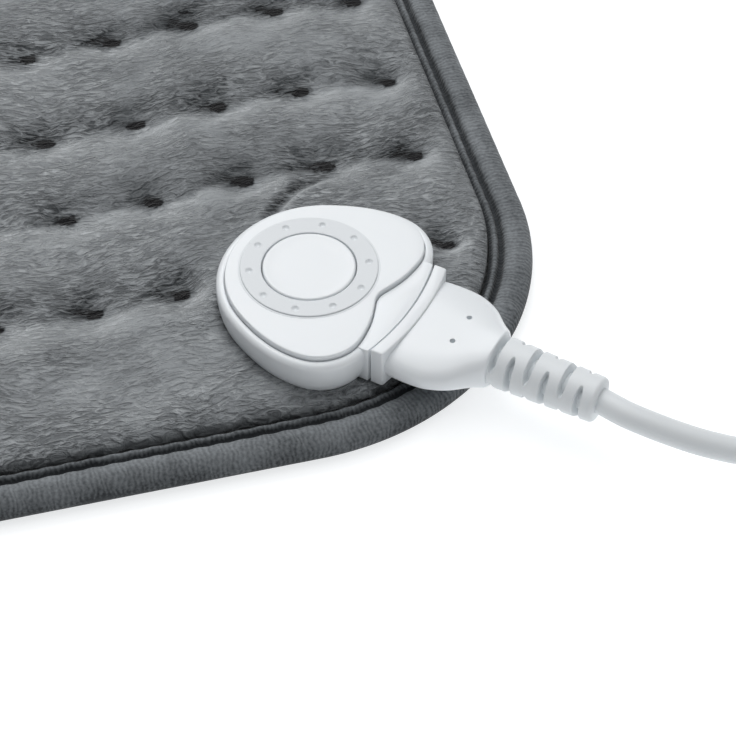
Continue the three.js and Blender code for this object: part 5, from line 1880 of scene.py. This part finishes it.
    def build(self) -> None:
        """Builds the housing's pieces."""
        housing = self.build_housing()
        self.keep(cut(housing, self.tunnel()), Body.PAD, Slot.WHITE, "socket_base")
        collar = self.prism("coupling_deck", self.collar_outline(), HOUSING_BOTTOM, self.deck, 0.5)
        self.keep(cut(collar, self.tunnel()), Body.PAD, Slot.WHITE, "socket_base")
        self.keep(self.build_cover(), Body.PAD, Slot.WHITE, "socket_cover")
        self.keep(self.build_ring(), Body.PAD, Slot.DIAL, "dial_ring")
        self.keep(self.build_button(), Body.RELEASE, Slot.WHITE, "release_button")


@dataclass
class CouplingPlug(Coupling):
    """The plug that slides out of the coupling, with its slotted strain relief."""

    flange_half: float = 16.3
    flange_inner: float = 63.5
    flange_outer: float = 66.7
    arc_x: float = -35.6
    low: float = HOUSING_BOTTOM
    high: float = 19.8
    end_x: float = 51.4
    end_lip: float = 0.6
    end_below: float = 6.2
    end_above: float = 6.5
    grip_x: float = 41.3
    grip_sides: Pair = (-4.1, 4.6)
    relief_length: float = 26.6
    root_radius: float = 6.5
    tip_radius: float = 5.6
    slots: int = 6
    slot_start: float = 0.6
    slot_pitch: float = 4.4
    slot_half: float = 0.62
    slot_floor: float = 3.6
    tongue_height: float = 14.55
    sleeve_sides: tuple[float, ...] = (-9.4, -4.7, 4.7, 9.4)
    shares: tuple[Triple, ...] = (
        (0, 0.955, 0),
        (0.1, 0.975, 0.02),
        (0.3, 0.985, 0.1),
        (0.5, 0.955, 0.2),
        (0.7, 0.822, 0.36),
        (0.88, 0.59, 0.62),
        (1, 0.45, 1),
    )

    def build_flange(self) -> bpy.types.Object:
        """The curved plate that meets the collar.

        Returns:
            The plate.
        """
        swing_in = math.asin(self.flange_half / self.flange_inner)
        swing_out = math.asin(self.flange_half / self.flange_outer)
        outer = arc(self.arc_x, 0, self.flange_outer, -swing_out, swing_out, 60)
        inner = arc(self.arc_x, 0, self.flange_inner, swing_in, -swing_in, 60)
        return self.prism("plug_flange", np.concatenate([outer, inner]), self.low, self.high, 1.0)

    def build_body(self) -> bpy.types.Object:
        """The smooth body between the flange and the strain relief, with two small pits on top.

        Returns:
            The body.
        """
        start, end, lip_start = self.arc_x + self.flange_inner + 1, self.end_x, self.end_x - self.end_lip
        along, widths, drops = (np.array(column, float) for column in zip(*self.shares, strict=True))
        angles = np.arange(200) * TAU / 200
        cos, sin = np.cos(angles), np.sin(angles)
        rings = []
        for x in [*np.linspace(start, lip_start, 60), *np.linspace(lip_start + 0.1, end, 6)]:
            share = (x - start) / (end - start)
            power = 0.7 + 0.18 * soft(share, 0, 0.85)
            across = np.sign(cos) * np.abs(cos) ** power
            up = np.sign(sin) * np.abs(sin) ** power
            lip = 1 - 0.07 * (1 - math.sqrt(1 - soft(x, lip_start, end) ** 2))
            width = self.flange_half * soft_interp(share, along, widths) * lip
            drop = soft_interp(share, along, drops)
            low = (self.low + GAP) * (1 - drop) + (PLUG_AXIS - self.end_below) * drop
            high = (self.high - 0.6) * (1 - drop) + (PLUG_AXIS + self.end_above) * drop
            z = (low + high) / 2 + (high - low) / 2 * up * lip
            rings.append(np.column_stack([np.full(len(z), x), width * across, z]))
        points, faces = stack(rings)
        body = add_mesh("plug_body", COUPLING.points(points), faces, 60)
        pit, pit_faces = lathe([(0.35, 17.2), (0.62, 17.4), (0.7, 17.8), (0.72, 24)], 28)
        places = (COUPLING.points(pit + [self.grip_x, side, 0]) for side in self.grip_sides)
        return cut(body, *(add_mesh("cutter", place, pit_faces) for place in places))

    def relief_radius(self, along: Points, angle: Points) -> Points:
        """The strain relief's radius: slots open above and below, then at the sides.

        Args:
            along: How far places lie from its root.
            angle: Their angles about its axis.

        Returns:
            The radius at each place.
        """
        full = self.root_radius + (self.tip_radius - self.root_radius) * along / self.relief_length
        result = full.copy()
        for index in range(self.slots):
            level = Level.TOP_AND_BOTTOM if index % 2 == 0 else Level.SIDES
            away = np.abs(full * (np.sin(angle) if level is Level.TOP_AND_BOTTOM else np.cos(angle)))
            bridge = 1.65 if level is Level.TOP_AND_BOTTOM else 2.3
            half = self.slot_half * np.sqrt(soft(away, bridge - 0.1, bridge + 2.6))
            across = np.clip((np.abs(along - self.slot_middle(index)) - half) / 0.36, 0, 1)
            lip = np.sqrt(1 - (1 - across) ** 2)
            depth = (full - self.slot_floor) * (1 - lip) * soft(away, bridge, bridge + 0.6)
            result = np.minimum(result, full - depth)
        return result

    def slot_middle(self, index: int) -> float:
        """Where the middle of one of the strain relief's slots is, from the relief's start."""
        return self.slot_start + self.slot_pitch * index

    def build_relief(self) -> bpy.types.Object:
        """The strain relief, cut by its slots, with a round lip at its end.

        Returns:
            The strain relief.
        """
        start, length, overlap = self.end_x + GAP, self.relief_length, 0.28
        places = set(np.linspace(-overlap, length, 160).tolist())
        for index in range(self.slots):
            for offset in (0.25, 0.4, 0.5, 0.58, 0.62, 0.66, 0.72, 0.8, 0.88, 0.98):
                places |= {self.slot_middle(index) + offset, self.slot_middle(index) - offset}
        angles = np.arange(160) * TAU / 160
        rings = []
        for along in sorted(place for place in places if place <= length):
            line = np.full(len(angles), along)
            lip = 1 - math.sqrt(1 - (1 - min((length - along) / 1.1, 1)) ** 2)
            radius = self.relief_radius(line, angles) - lip
            ring = [start + line, radius * np.cos(angles), PLUG_AXIS + radius * np.sin(angles)]
            rings.append(np.column_stack(ring))
        points, faces = stack(rings)
        return add_mesh("plug_relief", COUPLING.points(points), faces, 60)

    def build_nose(self) -> bpy.types.Object:
        """The tongue that carries the contacts, with a catch for the latch.

        Returns:
            The tongue.
        """
        outline = round_rectangle(1.85, 12.4, 1.2, 8)
        rings = []
        for inset, x in [(0.6, 11.3), (0.15, 11.5), (0, 12.0), (0, 31.1)]:
            shape = shrink(outline, inset)
            ring = [np.full(len(shape), x), shape[:, 1], self.tongue_height + shape[:, 0]]
            rings.append(np.column_stack(ring))
        points, faces = stack(rings)
        nose = add_mesh("plug_tongue", COUPLING.points(points), faces)
        tools = [self.block((12.5, 14.5), (-2.4, 2.4), (12, 13.9))]
        bore, bore_faces = lathe([(1.45, 9), (1.45, 24.9)], 24)
        for side in self.sleeve_sides:
            laid = laid_along_x(bore, side, self.tongue_height)
            tools.append(add_mesh("cutter", COUPLING.points(laid), bore_faces))
        return cut(nose, *tools)

    def build(self) -> None:
        """Builds the plug's pieces."""
        for piece, slot, node in (
            (self.build_flange(), Slot.WHITE, "plug_shell"),
            (self.build_body(), Slot.WHITE, "plug_shell"),
            (self.build_nose(), Slot.INNER, "plug_nose"),
            (self.build_relief(), Slot.SOFT_WHITE, "strain_relief"),
        ):
            self.keep(piece, Body.LEAD, slot, node)


def soft_interp(place: float, places: Points, values: Points) -> float:
    """A smooth value between given ones, without overshoot.

    Args:
        place: Where it is wanted.
        places: Where the given values are.
        values: The given values.

    Returns:
        The value.
    """
    place = min(max(place, float(places[0])), float(places[-1]))
    slopes = np.diff(values) / np.diff(places)
    tangents = np.concatenate([slopes[:1], (slopes[1:] + slopes[:-1]) / 2, slopes[-1:]])
    flat = np.concatenate([[False], slopes[1:] * slopes[:-1] <= 0, [False]])
    tangents = np.where(flat, 0, tangents)
    index = min(int(np.searchsorted(places, place, side="right")) - 1, len(places) - 2)
    width = places[index + 1] - places[index]
    t = (place - places[index]) / width
    first = (1 + 2 * t) * (1 - t) ** 2 * values[index] + t * (1 - t) ** 2 * width * tangents[index]
    second = t * t * (3 - 2 * t) * values[index + 1] + t * t * (t - 1) * width * tangents[index + 1]
    return float(first + second)


# Hand controller and mains plug


def ribbed_relief(name: str, place: Callable[[Points], Points]) -> bpy.types.Object:
    """A tapered strain relief with rounded grooves.

    Args:
        name: The piece's name.
        place: Lays the turned points where they belong.

    Returns:
        The piece.
    """
    profile = [(5.2, 0.0), (5.75, 0.5)]
    plain, length, ribs = 4.0, RELIEF_LENGTH, 6
    pitch = (length - 2 * plain) / ribs
    for rib in range(ribs):
        for share, depth in [(0, 0), (0.1, 0.25), (0.25, 0.6), (0.4, 0.25), (0.5, 0), (0.75, -0.05)]:
            along = plain + (rib + share) * pitch
            profile.append((5.8 - 1.5 * along / length - depth, along))
    profile += [(4.35, length - 0.8), (4.1, length - 0.25), (3.7, length)]
    points, faces = lathe(profile, 48)
    return add_mesh(name, place(points), faces, 50)


@dataclass
class HandController(Assembly):
    """The hand controller's case, keys, lamps and strain reliefs."""

    half_x: float = 23
    half_y: float = 59
    corner: float = 17
    height: float = 22.6
    edge: float = 5
    screw_y: float = 47
    lamp_y: float = 12.45
    lamp_pitch: float = 9
    key_rise: float = 1
    key_roll: float = 0.7
    key_dish: float = 0.4
    sign_low: float = 0.72
    sign_high: float = 0.17
    keys: tuple[tuple[Body, float, float], ...] = (
        (Body.POWER, 34.0, 7.4),
        (Body.WARMER, -8.1, 6.4),
        (Body.COOLER, -30.05, 6.4),
    )

    @property
    def place(self) -> Placement:
        """Where its own frame lies."""
        return Placement(HANDSET_X, HANDSET_Y)

    def shell(self, name: str, low: float, high: float, bottom: bool) -> bpy.types.Object:
        """Half of the case.

        Args:
            name: The piece's name.
            low: Its lowest height.
            high: Its highest height.
            bottom: Whether it is the lower half.

        Returns:
            The half.
        """
        outline = even(round_rectangle(self.half_x, self.half_y, self.corner, 40), 240)
        steps, chamfer, middle = 9, 0.25, self.edge + 3
        rounding = rounded(low, high, self.edge, steps)
        if bottom:
            wall = [(middle, low), *rounding[: steps + 1], (0, high - chamfer), (chamfer, high)]
        else:
            wall = [(chamfer, low), (0, low + chamfer), *rounding[steps + 1 :], (middle, high)]
        points, faces = stack([at_height(shrink(outline, inset), z) for inset, z in wall])
        return add_mesh(name, self.place.points(points), faces, 40)

    def rod(self, y: float, radius: float, low: float, high: float, steps: int = 64) -> bpy.types.Object:
        """An upright rod on the controller's middle line.

        Args:
            y: Its place along Y.
            radius: Its radius.
            low: Its foot.
            high: Its top.
            steps: Steps round it.

        Returns:
            The rod.
        """
        points, faces = lathe([(radius, low), (radius, high)], steps)
        return add_mesh("cutter", self.place.points(points + [0, y, 0]), faces)

    def build_case(self) -> None:
        """Both halves of the case, with the wells of the keys and the screws."""
        lower = self.shell("case_lower", 0, CASE_SEAM - 0.15, True)
        wells = [self.rod(side * self.screw_y, 2.7, -1, 2.8, 40) for side in (-1, 1)]
        self.keep(cut(lower, *wells), Body.LEAD, Slot.WHITE, "handset_lower_shell")
        upper = self.shell("case_upper", CASE_SEAM + 0.15, self.height, False)
        holes = [self.rod(y, radius + GAP, 17.4, 25) for _, y, radius in self.keys]
        self.keep(cut(upper, *holes), Body.LEAD, Slot.WHITE, "handset_upper_shell")

    def build_keys(self) -> None:
        """The three keys, each with a dished top."""
        top = self.height + self.key_rise
        for body, y, radius in self.keys:
            profile = [(radius, 18.4)]
            profile += [(radius - turned, height) for turned, height in rolled(top, self.key_roll, 5)]
            for share in (0.8, 0.6, 0.4, 0.2):
                profile.append((radius * share, top - self.key_dish * (1 - share**2)))
            points, faces = lathe(profile, 72)
            key = add_mesh(f"{body.value}_cap", self.place.points(points + [0, y, 0]), faces, 50)
            self.keep(key, body, Slot.DIAL, body.value)
            self.build_sign(body, y, top)

    def build_sign(self, body: Body, y: float, top: float) -> None:
        """A plain raised sign on a key: a ring with a bar, a plus or a minus.

        Args:
            body: The key's body.
            y: The key's place along Y.
            top: The key's top.
        """
        low, high = top - self.sign_low, top - self.sign_high
        flat, upright = (0, 0, 2.3, 0.4), (0, 0, 0.4, 2.3)
        bars = {Body.POWER: [(0, 1.9, 0.35, 1.5)], Body.WARMER: [flat, upright], Body.COOLER: [flat]}[body]
        shapes = [
            slab(round_rectangle(half_x, half_y, 0.3, 5) + [x, middle + y], low, high, 0.1, 2)
            for x, middle, half_x, half_y in bars
        ]
        if body is Body.POWER:
            steps, start, end = 50, math.radians(125), math.radians(415)
            outer, inner = arc(0, y, 3.0, start, end, steps), arc(0, y, 2.3, end, start, steps)
            rings = [at_height(np.concatenate([outer, inner]), z) for z in (low, high)]
            count, last = 2 * steps, 4 * steps - 1
            caps = [(count + i, count + i + 1, last - 1 - i, last - i) for i in range(steps - 1)]
            floor = [(i + 1, i, count - 1 - i, count - 2 - i) for i in range(steps - 1)]
            shapes.append((np.concatenate(rings), stack_faces(2, count) + caps + floor))
        faces, base = [], 0
        for points, own in shapes:
            faces += [tuple(base + corner for corner in face) for face in own]
            base += len(points)
        places = self.place.points(np.concatenate([points for points, _ in shapes]))
        self.keep(add_mesh(f"{body.value}_sign", places, faces), body, Slot.TIE)

    def build_reliefs(self) -> None:
        """The strain reliefs at both ends."""
        for way, node in ((-1, "handset_relief_pad_side"), (1, "handset_relief_mains_side")):

            def place(points: Points, way: int = way) -> Points:
                """Lays a relief at one end of the case."""
                return self.place.points(laid_along_y(points, way, way * (self.half_y + GAP), CASE_SEAM))

            side = "pad" if way < 0 else "mains"
            self.keep(ribbed_relief(f"case_relief_{side}", place), Body.LEAD, Slot.SOFT_WHITE, node)

    def build_lamps(self) -> None:
        """The domes of the level lamps."""
        points, faces = lathe([(1.7, 21.0), (1.7, 22.62), (1.5, 22.82), (1.0, 22.9)], 36)
        for index in range(3):
            places = self.place.points(points + [(index - 1) * self.lamp_pitch, self.lamp_y, 0])
            lamp = add_mesh(f"lamp_dome_{index + 1}", places, faces, 50)
            self.keep(lamp, Body.LEAD, Slot.LAMP, f"level_lamp_{index + 1}")

    def build(self) -> None:
        """Builds the hand controller."""
        self.build_case()
        self.build_keys()
        self.build_reliefs()
        self.build_lamps()


@dataclass
class MainsPlug(Assembly):
    """The mains plug at the end of the mains lead."""

    length: float = 36
    width: float = 35
    height: float = 13.7
    nose_width: float = 27
    tail_width: float = 15
    edge: float = 2.4
    pieces: list[bpy.types.Object] = field(default_factory=list)

    @property
    def place(self) -> Placement:
        """Where its own frame lies: the pins' face, with the cord's end beyond its relief."""
        end = MAINS_COIL.route()[-1]
        return Placement(end[0] - 2 * GAP - RELIEF_LENGTH - self.length, end[1])

    def build(self) -> None:
        """Builds the plug's body and its strain relief."""
        half, shoulder, taper = self.width / 2, self.length * 0.42, self.length * 0.7
        outline = np.concatenate(
            [
                bezier((0, -self.nose_width / 2), (0, -half), (shoulder, -half))[:-1],
                bezier((shoulder, -half), (taper, -half), (self.length, -self.tail_width / 2)),
                bezier((self.length, self.tail_width / 2), (taper, half), (shoulder, half))[:-1],
                bezier((shoulder, half), (0, half), (0, self.nose_width / 2)),
            ]
        )
        points, faces = slab(even(outline, 260), 0, self.height, self.edge, 7)
        body = add_mesh("mains_plug_case", self.place.points(points), faces, 40)
        self.keep(body, Body.LEAD, Slot.WHITE, "mains_plug_body")

        def pale_facing(turned: Points) -> Points:
            """Lays the relief behind the plug."""
            moved = laid_along_x(turned, 0, MAINS_PLUG_AXIS)
            moved[:, 0] += self.length + GAP
            return self.place.points(moved)

        relief = ribbed_relief("mains_plug_boot", pale_facing)
        self.keep(relief, Body.LEAD, Slot.SOFT_WHITE, "mains_plug_relief")
        pins = [frame["nodes"][f"mains_pin_{index}"] for index in (1, 2)]
        self.pieces = [body, relief, *pins]


# Studio


@dataclass(frozen=True)
class SoftLight:
    """A square light: its name, its place and side in metres, and its power in watts."""

    name: str
    place: Triple
    side: float
    power: float

    def hang(self, aim: Triple) -> None:
        """Hangs it.

        Args:
            aim: What it points at.
        """
        data = bpy.data.lights.new(self.name, "AREA")
        data.size = self.side
        data.energy = self.power
        light = bpy.data.objects.new(self.name, data)
        light.location = self.place
        way = Vector(aim) - Vector(self.place)
        light.rotation_euler = way.to_track_quat("-Z", "Y").to_euler()
        bpy.context.scene.collection.objects.link(light)


@dataclass
class Studio:
    """The camera at the photograph's angle, the table and the soft lights."""

    camera_place: Triple = (0.0452, -0.5124, 0.4319)
    camera_pitch: float = math.radians(47.38)
    camera_yaw: float = math.radians(14.43)
    lens: float = 117.39
    sensor: float = 36
    floor_half: float = 4.0
    floor_drop: float = 0.05 * MM
    aim: Triple = (0.12, -0.08, 0)
    lights: tuple[SoftLight, ...] = (
        SoftLight("sky_panel", (0.0, 0.95, 1.2), 1.2, 12.1),
        SoftLight("top_panel", (0.1, 0.05, 1.5), 1.4, 11),
        SoftLight("side_panel", (0.95, -0.25, 0.7), 0.9, 1.2),
    )
    air: Colour = (0.96, 0.98, 1)
    air_strength: float = 0.17

    def build_camera(self) -> None:
        """Places the camera."""
        data = bpy.data.cameras.new("camera")
        data.lens = self.lens
        data.sensor_width = self.sensor
        data.sensor_fit = "HORIZONTAL"
        camera = bpy.data.objects.new("camera", data)
        camera.location = self.camera_place
        camera.rotation_euler = (math.pi / 2 - self.camera_pitch, 0, -self.camera_yaw)
        bpy.context.scene.collection.objects.link(camera)
        bpy.context.scene.camera = camera

    def build_floor(self) -> None:
        """Lays the pale table top."""
        half = self.floor_half
        corners = np.array([(-half, -half, 0), (half, -half, 0), (half, half, 0), (-half, half, 0)], float)
        floor = add_mesh("table_top", corners, [(0, 1, 2, 3)])
        floor.location.z = -self.floor_drop
        floor.data.materials.append(FloorFinish().material())

    def build_lights(self) -> None:
        """Lights the table softly from above and behind."""
        for light in self.lights:
            light.hang(self.aim)
        world = bpy.data.worlds.new("studio")
        world.use_nodes = True
        background = world.node_tree.nodes["Background"]
        background.inputs["Color"].default_value = (*self.air, 1)
        background.inputs["Strength"].default_value = self.air_strength
        bpy.context.scene.world = world
        bpy.context.scene.view_settings.view_transform = "Standard"

    def build(self) -> None:
        """Builds the studio."""
        self.build_camera()
        self.build_floor()
        self.build_lights()


def main() -> None:
    """Builds the studio and every sub-assembly in order."""
    logging.basicConfig(level=logging.INFO, format="%(message)s")
    Studio().build()
    paint = Paint()
    paint.dress_nodes()
    leads, plug = Leads(paint), MainsPlug(paint)
    for assembly in (leads, Pad(paint), Coupling(paint), CouplingPlug(paint), HandController(paint), plug):
        assembly.build()
        LOG.info("built %s", type(assembly).__name__)
    leads.declare(plug.pieces)


if __name__ == "__main__":
    main()
